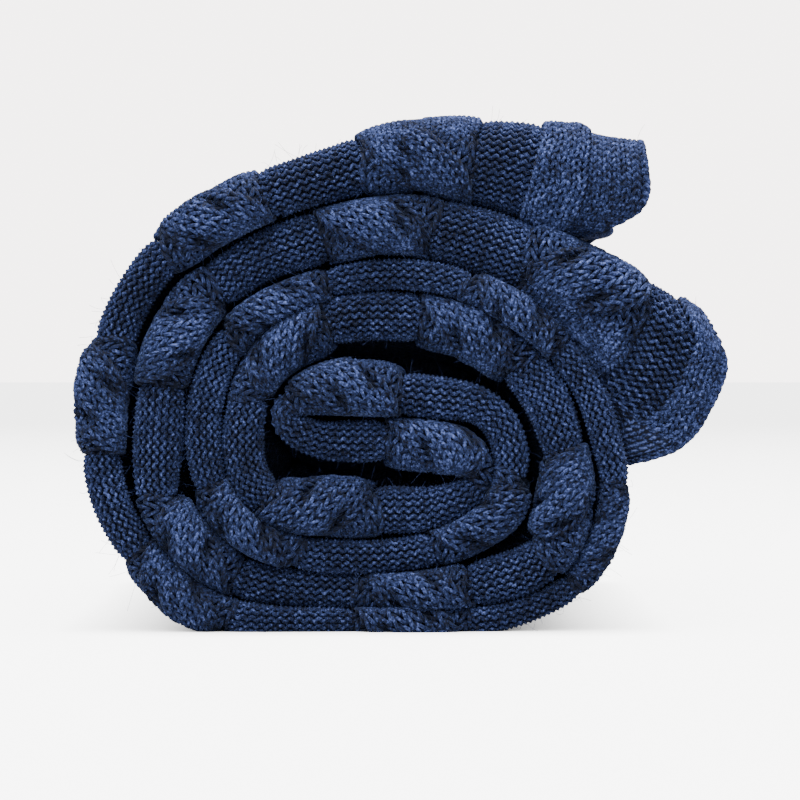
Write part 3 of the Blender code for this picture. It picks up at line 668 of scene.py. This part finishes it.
def stitchGroup():
    # height of purl and plain stitches from wale and course counts
    shape = stitchShape
    group, given, out = makeGroup("knit stitches", [("Stitch", "Vector"), ("Knit side", "Float")],
                                  [("Height", "Float")])
    parts = group.nodes.new("ShaderNodeSeparateXYZ")
    feed(group, parts.inputs[0], given["Stitch"])
    u = sums(group, "FRACT", parts.outputs[0])
    c = sums(group, "FRACT", parts.outputs[1])
    wave = sums(group, "COSINE", sums(group, "MULTIPLY", parts.outputs[0], 2 * math.pi))
    up = sums(group, "MULTIPLY_ADD", wave, 0.5, 0.5)
    bow = sums(group, "MULTIPLY", wave, shape["purlBow"])
    bows = []
    for part, share in (("purlHead", up), ("purlSinker", sums(group, "SUBTRACT", 1.0, up))):
        middle = sums(group, "ADD", bow, shape[part])
        half = arch(group, sums(group, "SUBTRACT", c, middle), shape["purlHalf"])
        bows.append(sums(group, "MULTIPLY", half, sums(group, "SQRT", share)))
    purl = sums(group, "MAXIMUM", *bows)
    y = sums(group, "SUBTRACT", sums(group, "FRACT", sums(group, "ADD", parts.outputs[1], 0.5)), 0.5)
    lean = sums(group, "MULTIPLY", y, shape["legLean"])
    legs = []
    for part, way in (("leftLeg", "SUBTRACT"), ("rightLeg", "ADD")):
        middle = sums(group, way, shape[part], lean)
        legs.append(arch(group, sums(group, "SUBTRACT", u, middle), shape["legHalf"]))
    plain = sums(group, "MULTIPLY", sums(group, "MAXIMUM", *legs), arch(group, y, shape["legReach"]))
    mixed = addNode(group, "ShaderNodeMix", data_type="FLOAT")
    feed(group, mixed.inputs[0], given["Knit side"])
    feed(group, mixed.inputs[2], purl)
    feed(group, mixed.inputs[3], plain)
    feed(group, out["Height"], mixed.outputs[0])
    return group


fibres = fibreGroup()
stitches = stitchGroup()


def yarnMaterial(name, withStitches):
    material = bpy.data.materials.new(name)
    material.use_nodes = True
    tree = material.node_tree
    shader = tree.nodes["Principled BSDF"]
    for socket, setting in (("Roughness", "roughness"), ("Specular IOR Level", "specular"),
                            ("Sheen Weight", "sheen"), ("Sheen Roughness", "sheenRoughness"),
                            ("Sheen Tint", "sheenTint")):
        shader.inputs[socket].default_value = navy[setting]
    fibre = tree.nodes.new("ShaderNodeGroup")
    fibre.node_tree = fibres
    fibre.inputs["Fineness"].default_value = navy["fineness"]
    fibre.inputs["Contrast"].default_value = navy["contrast"]
    side = addNode(tree, "ShaderNodeAttribute", attribute_name="knitSide", attribute_type="GEOMETRY")
    shade = addNode(tree, "ShaderNodeAttribute", attribute_name="shade", attribute_type="GEOMETRY")
    tone = sums(tree, "ADD", sums(tree, "ADD", fibre.outputs["Tone"], shade.outputs["Fac"]), navy["base"])
    height = sums(tree, "MULTIPLY", fibre.outputs["Height"], navy["fibreRelief"])
    if withStitches:
        place = addNode(tree, "ShaderNodeUVMap", uv_map="stitch")
        relief = tree.nodes.new("ShaderNodeGroup")
        relief.node_tree = stitches
        feed(tree, relief.inputs["Stitch"], place.outputs[0])
        feed(tree, relief.inputs["Knit side"], side.outputs["Fac"])
        height = sums(tree, "ADD", height, relief.outputs["Height"])
        # painted highlight on the stitches' tops and painted shade in their hollows
        reliefShading = sums(tree, "SUBTRACT", relief.outputs["Height"], navy["stitchTop"])
        tone = sums(tree, "MULTIPLY_ADD", reliefShading, navy["stitchShading"], tone)
    ramp = addNode(tree, "ShaderNodeValToRGB")
    ramp.color_ramp.elements[0].color = navy["deep"]
    ramp.color_ramp.elements[1].color = navy["bright"]
    ramp.color_ramp.elements.new(navy["midTone"]).color = navy["mid"]
    feed(tree, ramp.inputs[0], tone)
    feed(tree, shader.inputs["Base Color"], ramp.outputs[0])
    bump = tree.nodes.new("ShaderNodeBump")
    strength, distance = navy["clothBump" if withStitches else "loopBump"]
    bump.inputs["Strength"].default_value = strength
    bump.inputs["Distance"].default_value = distance
    feed(tree, bump.inputs["Height"], height)
    feed(tree, shader.inputs["Normal"], bump.outputs[0])
    return material


yarnLook = yarnMaterial("navy yarn loops", False)
clothLook = yarnMaterial("navy knitted cloth", True)
print("materials ready")


def meshObject(name, points, faces, uv=None, knitSides=None, shades=None, edges=()):
    data = bpy.data.meshes.new(name)
    data.from_pydata([tuple(p) for p in points], edges, faces)
    if uv is not None:
        layer = data.uv_layers.new(name="stitch")
        index = np.empty(len(data.loops), dtype=np.int32)
        data.loops.foreach_get("vertex_index", index)
        layer.data.foreach_set("uv", np.asarray(uv, dtype=np.float32)[index].ravel())
    for label, values in (("knitSide", knitSides), ("shade", shades)):
        if values is not None:
            layer = data.attributes.new(label, "FLOAT", "POINT")
            layer.data.foreach_set("value", np.asarray(values, dtype=np.float32))
    piece = bpy.data.objects.new(name, data)
    bpy.context.scene.collection.objects.link(piece)
    return piece


# The folded cloth itself: four layers, one closed sheet with a fold at the front and hems at the back.
sheet = {
    "longStep": 0.0042,
    "bendStep": 0.30,
    "shortStep": 0.0012,
    "inset": 0.0017,
    "insetShare": 0.35,
    "layerGap": 0.00012,  # half the gap between an outer layer and the inner one beside it
    "skin": 0.00015,  # the inner layers stay this clear of the strip's middle
    "leastWide": 0.0001,
    "leastDeep": 0.0002,
    "backInset": 0.001,  # the hems stop this far short of the back
    "innerBackInset": 0.0015,
    "innerFold": (0.0002, 0.0006),
    "endTuck": 0.0008,
    "floorClear": 0.0006,
    "shade": -0.08,  # painted shade: its yarn is painted darker, as it lies deeper than the rest
    "touch": 0.0012,  # turns that fill the gap meet this far inside each other
    "noseSteps": 7,
    "outerDepths": (0.010, 0.025, 0.05, 0.09, 0.14, 0.20, 0.26),
    "innerDepths": (0.006, 0.014, 0.026, 0.045, 0.08, 0.14, 0.22),
    "foldSteps": 6,
}


def sheetPlaces():
    places = [0.0]
    while places[-1] < cloth["length"]:
        radius = float(readStrip("radius", places[-1]))
        step = max(sheet["shortStep"], sheet["bendStep"] * radius)
        places.append(places[-1] + min(sheet["longStep"], step))
    places[-1] = cloth["length"]
    return np.array(places)


def insetLine(section, inset, depths, fromRight, end, swollen=False):
    # one layer's surface, from the back of one side round the front to the back of the other side
    nose = section["nose"]
    points = []
    for column, sign in ((0, -1), (1, 1)):
        reach = section["reach"][column]
        limit = section["limit"][column]
        line = []
        for k in range(sheet["noseSteps"] + 1):
            wide, deep = noseCurve(math.pi / 2 * k / sheet["noseSteps"])
            wide = sign * max(reach - inset, sheet["leastWide"]) * wide
            line.append((wide, inset + max(nose - inset, sheet["leastDeep"]) * deep))
        for depth in [nose + behind for behind in depths] + [end]:
            less = inset - (inset + sheet["touch"]) * float(fillShare(limit, depth)) if swollen else inset
            wide = max(float(sagAt(reach, limit, depth, nose)) - less, sheet["leastWide"])
            line.append((sign * wide, depth if depth < end else end - section["back"][column]))
        points.append(line)
    whole = points[0][:0:-1] + points[1]
    return whole[::-1] if fromRight else whole


def sheetSection(place):
    i = int(round(place / cloth["length"] * (len(clothMap["places"]) - 1)))
    reach = clothMap["reach"][i]
    nose = clothMap["nose"][i]
    thick = min(bodyHalf, reach[0], reach[1])
    outer = min(sheet["inset"], sheet["insetShare"] * thick)
    section = {"nose": nose, "reach": reach, "limit": clothMap["limit"][i]}
    depth = clothMap["depths"][i]
    foldRadius = (thick - outer) / 2
    gap = sheet["layerGap"]
    hem = sheet["backInset"] + foldRadius
    section["back"] = (sheet["backInset"], hem)
    faceOut = insetLine(section, outer, sheet["outerDepths"], False, depth, True)
    backOut = insetLine(section, thick / 2 - gap, sheet["outerDepths"], True, depth)
    right = faceOut[-1]
    inner = (right[0] - 2 * foldRadius + sheet["skin"], right[1])
    fold = []
    centre = ((right[0] + inner[0]) / 2, right[1])
    radius = (right[0] - inner[0]) / 2
    for k in range(1, sheet["foldSteps"]):
        angle = math.pi * k / sheet["foldSteps"]
        fold.append((centre[0] + radius * math.cos(angle), centre[1] + radius * math.sin(angle)))
    section["back"] = (sheet["innerBackInset"], hem)
    faceIn = insetLine(section, thick - sheet["skin"], sheet["innerDepths"], True, depth)
    backIn = insetLine(section, thick / 2 + gap, sheet["innerDepths"], False, depth)
    wide, deep = sheet["innerFold"]
    innerFold = [(centre[0] + wide * math.cos(a), centre[1] + deep * math.sin(a))
                 for a in (math.pi * 0.75, math.pi * 0.25)]
    face = faceOut + fold + faceIn
    return i, face + backIn + innerFold + backOut, len(face)


def clothSheet():
    places = sheetPlaces()
    rings = []
    uvs = []
    for place in places:
        i, loop, outward = sheetSection(place)
        loop = np.array(loop)
        reach = clothMap["reach"][i]
        nose = clothMap["nose"][i]
        settled = np.maximum(loop[:, 1], nose)
        left = sagAt(reach[0], clothMap["limit"][i, 0], settled, nose)
        right = sagAt(reach[1], clothMap["limit"][i, 1], settled, nose)
        across = np.clip((loop[:, 0] + left) / (left + right), 0, 1)
        stand = rimStand(np.full(len(loop), place), across, settled)
        tuck = sheet["endTuck"] * (int(place == 0) - int(place == cloth["length"]))
        line, way, side = clothMap["line"][i], clothMap["way"][i], clothMap["side"][i]
        x = line[0] + side[0] * loop[:, 0] + way[0] * (stand + tuck) + cloth["shiftX"]
        z = line[1] + side[1] * loop[:, 0] + way[1] * (stand + tuck)
        y = clothMap["front"][i] + loop[:, 1] + cloth["shiftY"]
        rings.append(np.stack([x, y, np.maximum(z, sheet["floorClear"])], axis=1))
        courses = runLength(loop) / knit["course"]
        uvs.append(np.stack([np.full(len(loop), place / knit["wale"]), courses], axis=1))
    size = len(rings[0])
    points = np.concatenate(rings)
    faces = []
    for a in range(len(places) - 1):
        for b in range(size):
            c = (b + 1) % size
            faces.append((a * size + b, (a + 1) * size + b, (a + 1) * size + c, a * size + c))
    # the two edges of the cloth: face line against back line
    for ring, flip in ((0, False), (len(places) - 1, True)):
        base = ring * size
        a, b = 0, size - 1
        while b - a > 1:
            done = a / (outward - 1) <= (size - 1 - b) / (size - 1 - outward)
            if a < outward - 1 and (b <= outward or done):
                face = (base + a, base + a + 1, base + b)
                a += 1
            else:
                face = (base + a, base + b - 1, base + b)
                b -= 1
            faces.append(face if not flip else face[::-1])
    return meshObject("foldedCloth", points, faces, np.concatenate(uvs), np.zeros(len(points)),
                      np.full(len(points), sheet["shade"]))


foldedCloth = clothSheet()
print("folded cloth", len(foldedCloth.data.polygons))


def turnOutwards(piece):
    # a closed mesh whose volume comes out negative has its faces turned over
    data = piece.data
    data.calc_loop_triangles()
    corner = np.empty(len(data.vertices) * 3, dtype=np.float64)
    data.vertices.foreach_get("co", corner)
    corner = corner.reshape(-1, 3)
    tri = np.empty(len(data.loop_triangles) * 3, dtype=np.int32)
    data.loop_triangles.foreach_get("vertices", tri)
    a, b, c = (corner[tri.reshape(-1, 3)[:, k]] for k in range(3))
    volume = float(np.einsum("ij,ij->i", a, np.cross(b, c)).sum() / 6)
    if volume < 0:
        data.flip_normals()
    return volume


print("cloth volume", turnOutwards(foldedCloth))
foldedCloth.data.materials.append(clothLook)
foldedCloth.data.shade_smooth()


# Yarn loops round the front fold.
loops = {
    "samples": 10,
    "purlSway": 0.146,
    "plainSway": -0.045,
    "purlHalf": 0.74,
    "plainHalf": 0.80,
    "purlDepth": 0.00092,
    "plainDepth": 0.00055,
    "yarnRadius": 0.00061,
    "plainThicker": 0.14,
    "sides": 4,
    "inset": 0.00105,
    "beyond": 0.0045,
    "tightLess": 0.0010,  # loops stop sooner where the gap beside the lip is closed
    "openRoom": 0.004,
    "leastReach": 0.0095,
    "ropeCuts": (5.9999, 6.0001),  # in stitches: the yarn stops here, on either side of the ropes' slit
    "mostReach": 0.030,
    "pieces": 5,
}


def yarnTree():
    tree = bpy.data.node_groups.new("yarn along a path", "GeometryNodeTree")
    addSockets(tree, "INPUT", [("Geometry", "Geometry"), ("Yarn radius", "Float"),
                               ("Plain thicker", "Float"), ("Sides", "Int"), ("Yarn", "Material")])
    addSockets(tree, "OUTPUT", [("Geometry", "Geometry")])
    given = tree.nodes.new("NodeGroupInput").outputs
    curve = tree.nodes.new("GeometryNodeMeshToCurve")
    ring = tree.nodes.new("GeometryNodeCurvePrimitiveCircle")
    tube = tree.nodes.new("GeometryNodeCurveToMesh")
    smooth = tree.nodes.new("GeometryNodeSetShadeSmooth")
    real = tree.nodes.new("GeometryNodeRealizeInstances")
    paint = tree.nodes.new("GeometryNodeSetMaterial")
    feed(tree, curve.inputs["Mesh"], given["Geometry"])
    feed(tree, ring.inputs["Resolution"], given["Sides"])
    feed(tree, ring.inputs["Radius"], given["Yarn radius"])
    feed(tree, tube.inputs["Curve"], curve.outputs[0])
    feed(tree, tube.inputs["Profile Curve"], ring.outputs["Curve"])
    tube.inputs["Fill Caps"].default_value = True
    side = addNode(tree, "GeometryNodeInputNamedAttribute", data_type="FLOAT")
    side.inputs["Name"].default_value = "knitSide"
    scale = sums(tree, "MULTIPLY_ADD", side.outputs[0], given["Plain thicker"], 1.0)
    feed(tree, tube.inputs["Scale"], scale)
    feed(tree, smooth.inputs[0], tube.outputs[0])
    feed(tree, real.inputs[0], smooth.outputs[0])
    feed(tree, paint.inputs["Geometry"], real.outputs[0])
    feed(tree, paint.inputs["Material"], given["Yarn"])
    feed(tree, tree.nodes.new("NodeGroupOutput").inputs[0], paint.outputs[0])
    return tree


yarnNodes = yarnTree()


def spinYarn(name, points, edges, knitSides, shades, radius, thicker=0.0, sides=loops["sides"]):
    # tubes of yarn along the given paths, as one plain mesh
    path = meshObject(name, points, [], None, knitSides, shades, edges)
    modifier = path.modifiers.new("yarn", "NODES")
    modifier.node_group = yarnNodes
    wanted = {"Yarn radius": radius, "Plain thicker": thicker, "Sides": sides, "Yarn": yarnLook}
    for item in yarnNodes.interface.items_tree:
        if item.in_out == "INPUT" and item.name in wanted:
            modifier[item.identifier] = wanted[item.name]
    deps = bpy.context.evaluated_depsgraph_get()
    spun = path.evaluated_get(deps)
    data = bpy.data.meshes.new_from_object(spun, preserve_all_data_layers=True, depsgraph=deps)
    path.modifiers.clear()
    old = path.data
    path.data = data
    bpy.data.meshes.remove(old)
    data.name = name
    print(name, len(data.polygons), "faces, volume", turnOutwards(path))
    return path


def arcReach(place):
    # how far round each side of the front fold the loops run
    i = mapRow(place)
    room = smoothStep((clothMap["limit"][i] - clothMap["reach"][i]) / loops["openRoom"])
    more = (loops["beyond"] + loops["tightLess"]) * room - loops["tightLess"]
    return np.clip(clothMap["arcs"][i] + more, loops["leastReach"], loops["mostReach"])


def courseYarn(course):
    # one course of yarn along the whole strip, in runs of (place, around, height, knit side, shade)
    turn = 2 * math.pi * np.arange(loops["samples"]) / loops["samples"]
    rows = []
    for region in regions:
        count = region["wales"]
        knitted = knitSide(region)
        t = np.concatenate([np.tile(turn, count), [0.0]])
        within = np.tile(turn / (2 * math.pi), count)
        base = np.concatenate([np.repeat(np.arange(count), loops["samples"]) + within, [count]])
        sway = loops["plainSway"] if knitted else loops["purlSway"]
        u = np.clip(base + sway * np.sin(2 * t), 0.0, count)
        around = (course + 0.5 + loops["plainHalf" if knitted else "purlHalf"] * np.cos(t)) * knit["course"]
        if region["kind"] == "cable":
            around = around * knit["cableCourse"]
        depth = -loops["plainDepth"] if knitted else loops["purlDepth"]
        behind = (0.5 + 0.5 * np.cos(2 * t)) if knitted else (0.5 - 0.5 * np.cos(2 * t))
        # painted shade on the yarn where it passes behind its neighbours
        shade = regionShade(region, u, around) - navy["tuckedShade" if knitted else "purlTuckedShade"] * behind
        if region["kind"] == "cable":
            # the two ropes are separate: the yarn breaks where they part
            k = ropeWales * loops["samples"]
            before, after = loops["ropeCuts"]
            cuts = ((np.clip(u[: k + 1], 0, before), slice(0, k + 1)),
                    (np.clip(u[k:], after, count), slice(k, None)))
        else:
            cuts = ((u, slice(None)),)
        for part, cut in cuts:
            place, lies, high = stitchPlace(region, part, around[cut])
            dark = shade[cut]
            if region["kind"] == "cable":
                dark = dark - navy["dimpleShade"] * dimpleAt(region, place, lies)
            high = high + depth * np.cos(2 * t[cut])
            rows.append((place, lies, high, np.full(len(part), knitted), dark))
    return rows


def frontLoops():
    reach = int(loops["mostReach"] / (knit["course"] * knit["cableCourse"])) + 1
    cuts = [cloth["length"] * k / loops["pieces"] for k in range(loops["pieces"] + 1)]
    stores = [([], [], [], []) for _ in range(loops["pieces"])]  # points, edges, knit sides and shades
    sizes = [0] * loops["pieces"]
    for course in range(-reach, reach):
        for place, around, high, knitted, shade in courseYarn(course):
            limits = arcReach(np.clip(place, 0, cloth["length"]))
            shown = np.where(around < 0, -around < limits[:, 0], around < limits[:, 1])
            which = np.clip(np.searchsorted(cuts, place, side="right") - 1, 0, loops["pieces"] - 1)
            points = onCloth(place, around, high - loops["inset"])
            for k in range(loops["pieces"]):
                mine = shown & (which == k)
                if not mine.any():
                    continue
                index = np.full(len(place), -1)
                index[mine] = np.arange(mine.sum()) + sizes[k]
                joined = mine[:-1] & mine[1:]
                edges = np.stack([index[:-1][joined], index[1:][joined]], axis=1)
                for store, values in zip(stores[k], (points[mine], edges, knitted[mine], shade[mine])):
                    store.append(values)
                sizes[k] += int(mine.sum())
    pieces = []
    for k, store in enumerate(stores):
        points, edges, knitted, shades = (np.concatenate(values) for values in store)
        edges = [tuple(map(int, e)) for e in edges]
        pieces.append(spinYarn(f"frontStitches{k + 1}", points, edges, knitted, shades, loops["yarnRadius"],
                               loops["plainThicker"]))
    return pieces


frontStitches = frontLoops()


# Knitted faces that lie open on the outside of the roll.
faces = {
    "purlRelief": 0.00042,
    "plainRelief": 0.00036,
    "inset": 0.00075,
    "start": 0.0010,
    "rimDrop": 0.0012,
    "joined": 0.034,
    "firstRows": 15,
    "fineTo": 0.110,
    "farRows": 90,
    "backRoom": 0.0035,
    "backFade": 0.010,
    "purlFadeStart": 0.012,
    "purlFade": 0.010,
    "ropeRounds": 5,
    "ropeReach": 5,  # in stitches from a rope's middle
    "ropeOver": 0.3,  # a rope covers this much of a stitch past its edges
    "ropeClear": 0.001,
    "patches": [  # name, side of the strip (0 left, 1 right), start and end
        ("outerFaceTop", 1, 0.0, 0.232),
        ("outerFaceLeft", 1, 0.232, 0.492),
        ("outerFaceRight", 1, 0.548, 0.742),
        ("upperEndUnderside", 0, 0.0, 0.056),
        ("lowerEndTop", 0, 1.424, 1.524),
        ("lowerEndUnderside", 1, 1.462, 1.524),
    ],
}


def regionColumns(start, end):
    # half-wale columns between two places, and the next, where a neighbouring face starts: (region, u)
    columns = []
    passed = False
    for region in regions:
        for k in range(2 * region["wales"] + int(region is regions[-1])):
            place = region["start"] + k * region["stitch"] / 2
            if start - 1e-6 <= place and not passed:
                columns.append((region, k / 2))
                passed = place > end
    return columns


def ropeUnder(region, x, around, over):
    # which stitch of a rope lies at a place: wale count, place round before the rope's turn, and shares
    width = region["stitch"]
    most = faces["ropeReach"] * width
    y = around
    for _ in range(faces["ropeRounds"]):
        middle, turn, near, ends = ropeLine(region, y, over)
        local = np.clip((x - middle) * width / np.cos(turn), -most, most)
        y = around + local * np.sin(turn)
    return ropeMiddles[0 if over else 1] + local / (width * ropeSpread(near, over)), y, near, ends


def cableSurface(region, x, around):
    # height, wale count and place round of the cable's top at a place x wales from its start
    x = fromFront(region, x)
    ropes = []
    for over, start, clear in ((True, 0, 0), (False, ropeWales, faces["ropeClear"])):
        count, y, near, ends = ropeUnder(region, x, around, over)
        covered = np.abs(count - start - ropeWales / 2) <= ropeWales / 2 + faces["ropeOver"]
        high = ropeHeight(np.clip(count, start + clear, start + ropeWales), near, ends, over)
        ropes.append((np.where(covered, high, -1), count, y))
    (firstHigh, first, firstY), (secondHigh, second, secondY) = ropes
    top = np.maximum(firstHigh, secondHigh)
    upper = firstHigh >= secondHigh
    count = fromFront(region, np.where(upper, first, second))
    # where neither rope lies, the ground between them shows
    return np.where(top < -0.5, 0.0, top), count, np.where(upper, firstY, secondY)


def knitFace(name, column, start, end):
    sign = 1 if column else -1
    columns = regionColumns(start, end)
    points, uvs, sides, shades = [], [], [], []
    for region, u in columns:
        place = region["start"] + u * (region["end"] - region["start"]) / region["wales"]
        row = mapRow(place)
        first = float(arcReach(np.array([place]))[0, column]) - faces["start"]
        behind = clothMap["depths"][row] - clothMap["nose"][row]
        last = float(behind + clothMap["arcs"][row, column]) - faces["backRoom"]
        rows = [np.linspace(first, faces["joined"], faces["firstRows"], endpoint=False),
                np.arange(faces["joined"], faces["fineTo"], knit["course"] / 2),
                np.linspace(faces["fineTo"], last, faces["farRows"])]
        around = sign * np.concatenate(rows)
        lies = around
        count = np.full(len(around), float(u))
        places = np.full(len(around), place)
        if region["kind"] == "cable":
            high, count, lies = cableSurface(region, count, around)
            high = region["raise"] * (high - knit["dimpleDepth"] * dimpleAt(region, places, around))
        else:
            high = stitchPlace(region, count, around)[2]
        knitted = knitSide(region)
        if knitted:
            relief = -faces["plainRelief"] * np.cos(2 * math.pi * count)
        else:
            fading = np.abs(around) - faces["fineTo"] + faces["purlFadeStart"]
            fine = 1 - smoothStep(fading / faces["purlFade"])
            relief = -faces["purlRelief"] * math.cos(2 * math.pi * u)
            relief = relief * np.sin(2 * math.pi * around / knit["course"]) * fine
        drop = np.zeros(len(around))
        drop[[0, -1]] = faces["rimDrop"]
        relief = (high + relief) * smoothStep((last - np.abs(around)) / faces["backFade"])
        points.append(onCloth(places, around, relief - faces["inset"] - drop))
        uvs.append(np.stack([region["first"] + count, lies / knit["course"]], axis=1))
        sides.append(np.full(len(around), knitted))
        shades.append(regionShade(region, count, lies))
    size = len(points[0])
    quads = []
    for a in range(len(columns) - 1):
        for b in range(size - 1):
            quads.append((a * size + b, a * size + b + 1, (a + 1) * size + b + 1, (a + 1) * size + b))
    if column == 0:
        quads = [q[::-1] for q in quads]
    points, uvs, sides, shades = (np.concatenate(values) for values in (points, uvs, sides, shades))
    piece = meshObject(name, points, quads, uvs, sides, shades)
    piece.data.materials.append(clothLook)
    piece.data.shade_smooth()
    print(name, len(quads), "faces")
    return piece


openFaces = [knitFace(*patch) for patch in faces["patches"]]


# The two knitted edges and the loose fibres.
trim = {
    "edgeReach": 0.320,
    "samples": 8,
    "edgeOut": -0.0002,
    "edgeSwing": 0.0006,
    "edgeDrop": 0.0006,
    "edgeRadius": 0.00072,
    "edgeLean": 0.35,
    "edgeShade": 0.05,
    "fibres": 1700,
    "fibreSteps": 4,
    "fibreLength": (0.0012, 0.0045),
    "fibreRadius": 0.000045,
    "fibreSides": 3,
    "fibreSpread": 0.009,
    "fibreWander": 0.55,
    "fibreBase": 0.0003,
    "fibreShade": 0.08,
    "fibreSeed": 11,
}


def edgeYarn(name, end, sign):
    # the yarn that turns back at the cloth's edge, one small loop for each course
    around = np.arange(-trim["edgeReach"], trim["edgeReach"], knit["course"] / trim["samples"])
    phase = 2 * math.pi * around / knit["course"]
    place = end + sign * (trim["edgeOut"] + trim["edgeSwing"] * np.cos(phase))
    leant = around + trim["edgeLean"] * knit["course"] * np.sin(phase)
    points = onCloth(place, leant, trim["edgeDrop"] * np.sin(phase) - loops["inset"] / 2)
    edges = [(k, k + 1) for k in range(len(around) - 1)]
    shades = np.full(len(around), trim["edgeShade"])
    return spinYarn(name, points, edges, np.zeros(len(around)), shades, trim["edgeRadius"])


def looseFibres():
    # short fine fibres that stand off the yarn round the front fold
    draw = np.random.default_rng(trim["fibreSeed"])
    count, steps = trim["fibres"], trim["fibreSteps"]
    place = draw.uniform(0, cloth["length"], count)
    around = draw.normal(0, trim["fibreSpread"], count)
    base = onCloth(place, around, np.full(count, trim["fibreBase"]))
    lead = mapRead("normal", place, around) + draw.normal(0, trim["fibreWander"], (count, 3))
    lead /= np.linalg.norm(lead, axis=1, keepdims=True)
    bend = draw.normal(0, trim["fibreWander"], (count, 3))
    length = draw.uniform(*trim["fibreLength"], count)
    share = np.linspace(0, 1, steps)[None, :, None]
    points = base[:, None] + length[:, None, None] * (lead[:, None] * share + bend[:, None] * share**2)
    points[..., 2] = np.maximum(points[..., 2], cloth["floorClear"])
    edges = [(f * steps + k, f * steps + k + 1) for f in range(count) for k in range(steps - 1)]
    points = points.reshape(-1, 3)
    shades = np.full(len(points), trim["fibreShade"])
    return spinYarn("looseFibres", points, edges, np.zeros(len(points)), shades, trim["fibreRadius"],
                    sides=trim["fibreSides"])


trims = [edgeYarn("upperEdge", 0.0, -1), edgeYarn("lowerEdge", cloth["length"], 1), looseFibres()]


# The studio: camera, floor, lights and wall.
studio = {
    "cameraDistance": 1.30,
    "frameWidth": 0.240,
    "cameraHeight": 0.0765,
    "aimX": -0.00045,
    "aimZ": 0.0696,
    "sensor": 36.0,
    "wall": (0.87, 0.825, 0.815, 1.0),
    "floor": (0.50, 0.50, 0.50, 1.0),
    "floorGlow": (0.80, 0.80, 0.80, 1.0),
    "floorSeen": 8.0,  # glow near the roll, and far behind it
    "floorFar": 5.2,
    "floorFade": (0.6, 6.0),
    "floorRoughness": 0.9,
    "floorGloss": 0.1,
    "contactReach": 0.030,
    "contactSamples": 12,
    "floorHalf": 60.0,
    "worldLight": 0.18,
    "worldSeen": 6.4,  # the wall as the camera sees it
    "lights": [  # name, size, power and place
        ("key", (1.2, 0.9), 22.5, (-0.7, -1.3, 1.1)),
        ("top", (1.6, 1.2), 48.0, (0.1, -0.1, 1.4)),
        ("fill", (1.2, 0.9), 7.5, (0.75, -1.2, 0.95)),
        ("front", (0.3, 0.3), 2.6, (0, -1.7, 0.12)),
    ],
    "lightAim": (0, 0, 0.07),
}


def addLight(name, size, power, place):
    light = bpy.data.lights.new(name, "AREA")
    light.shape = "RECTANGLE"
    light.size, light.size_y = size
    light.energy = power
    lamp = bpy.data.objects.new(name, light)
    lamp.location = place
    lamp.rotation_euler = (Vector(studio["lightAim"]) - lamp.location).to_track_quat("-Z", "Y").to_euler()
    bpy.context.scene.collection.objects.link(lamp)


def makeFloor():
    # the floor glows for the camera alone, less far away, and a painted contact shadow dims its glow where
    # the roll covers it
    wide = studio["floorHalf"]
    corners = [(-wide, -wide, 0), (wide, -wide, 0), (wide, wide, 0), (-wide, wide, 0)]
    floor = meshObject("studioFloor", corners, [(0, 1, 2, 3)])
    pale = bpy.data.materials.new("pale floor")
    pale.use_nodes = True
    tree = pale.node_tree
    shader = tree.nodes["Principled BSDF"]
    for socket, setting in (("Base Color", "floor"), ("Roughness", "floorRoughness"),
                            ("Specular IOR Level", "floorGloss"), ("Emission Color", "floorGlow")):
        shader.inputs[socket].default_value = studio[setting]
    ray = tree.nodes.new("ShaderNodeLightPath").outputs["Is Camera Ray"]
    away = tree.nodes.new("ShaderNodeSeparateXYZ")
    feed(tree, away.inputs[0], tree.nodes.new("ShaderNodeTexCoord").outputs["Object"])
    fade = addNode(tree, "ShaderNodeMapRange", interpolation_type="SMOOTHSTEP")
    values = (away.outputs[1], *studio["floorFade"], studio["floorSeen"], studio["floorFar"])
    for label, value in zip(("Value", "From Min", "From Max", "To Min", "To Max"), values):
        feed(tree, fade.inputs[label], value)
    # painted contact shadow: the glow dims where the roll covers the floor
    contactShadow = addNode(tree, "ShaderNodeAmbientOcclusion", samples=studio["contactSamples"])
    contactShadow.inputs["Distance"].default_value = studio["contactReach"]
    glow = sums(tree, "MULTIPLY", fade.outputs[0], contactShadow.outputs["AO"])
    feed(tree, shader.inputs["Emission Strength"], sums(tree, "MULTIPLY", ray, glow))
    floor.data.materials.append(pale)


def makeStudio():
    makeFloor()
    front = -rollDepth / 2 + cloth["shiftY"]
    camera = bpy.data.cameras.new("camera")
    camera.sensor_width = studio["sensor"]
    camera.lens = studio["sensor"] * studio["cameraDistance"] / studio["frameWidth"]
    holder = bpy.data.objects.new("camera", camera)
    x = studio["aimX"] + cloth["shiftX"]
    place = Vector((x, front - studio["cameraDistance"], studio["cameraHeight"]))
    aim = Vector((x, front, studio["aimZ"]))
    holder.location = place
    holder.rotation_euler = (aim - place).to_track_quat("-Z", "Y").to_euler()
    bpy.context.scene.collection.objects.link(holder)
    bpy.context.scene.camera = holder
    for light in studio["lights"]:
        addLight(*light)
    world = bpy.data.worlds.new("studio")
    world.use_nodes = True
    tree = world.node_tree
    tree.nodes["Background"].inputs["Color"].default_value = studio["wall"]
    seen = tree.nodes.new("ShaderNodeLightPath").outputs["Is Camera Ray"]
    more = studio["worldSeen"] - studio["worldLight"]
    strength = sums(tree, "MULTIPLY_ADD", seen, more, studio["worldLight"])
    feed(tree, tree.nodes["Background"].inputs["Strength"], strength)
    bpy.context.scene.world = world


makeStudio()
print("studio ready")

clothPieces = frontStitches + openFaces + trims
for piece in [foldedCloth] + clothPieces:
    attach(piece, "root")
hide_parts("blanket")
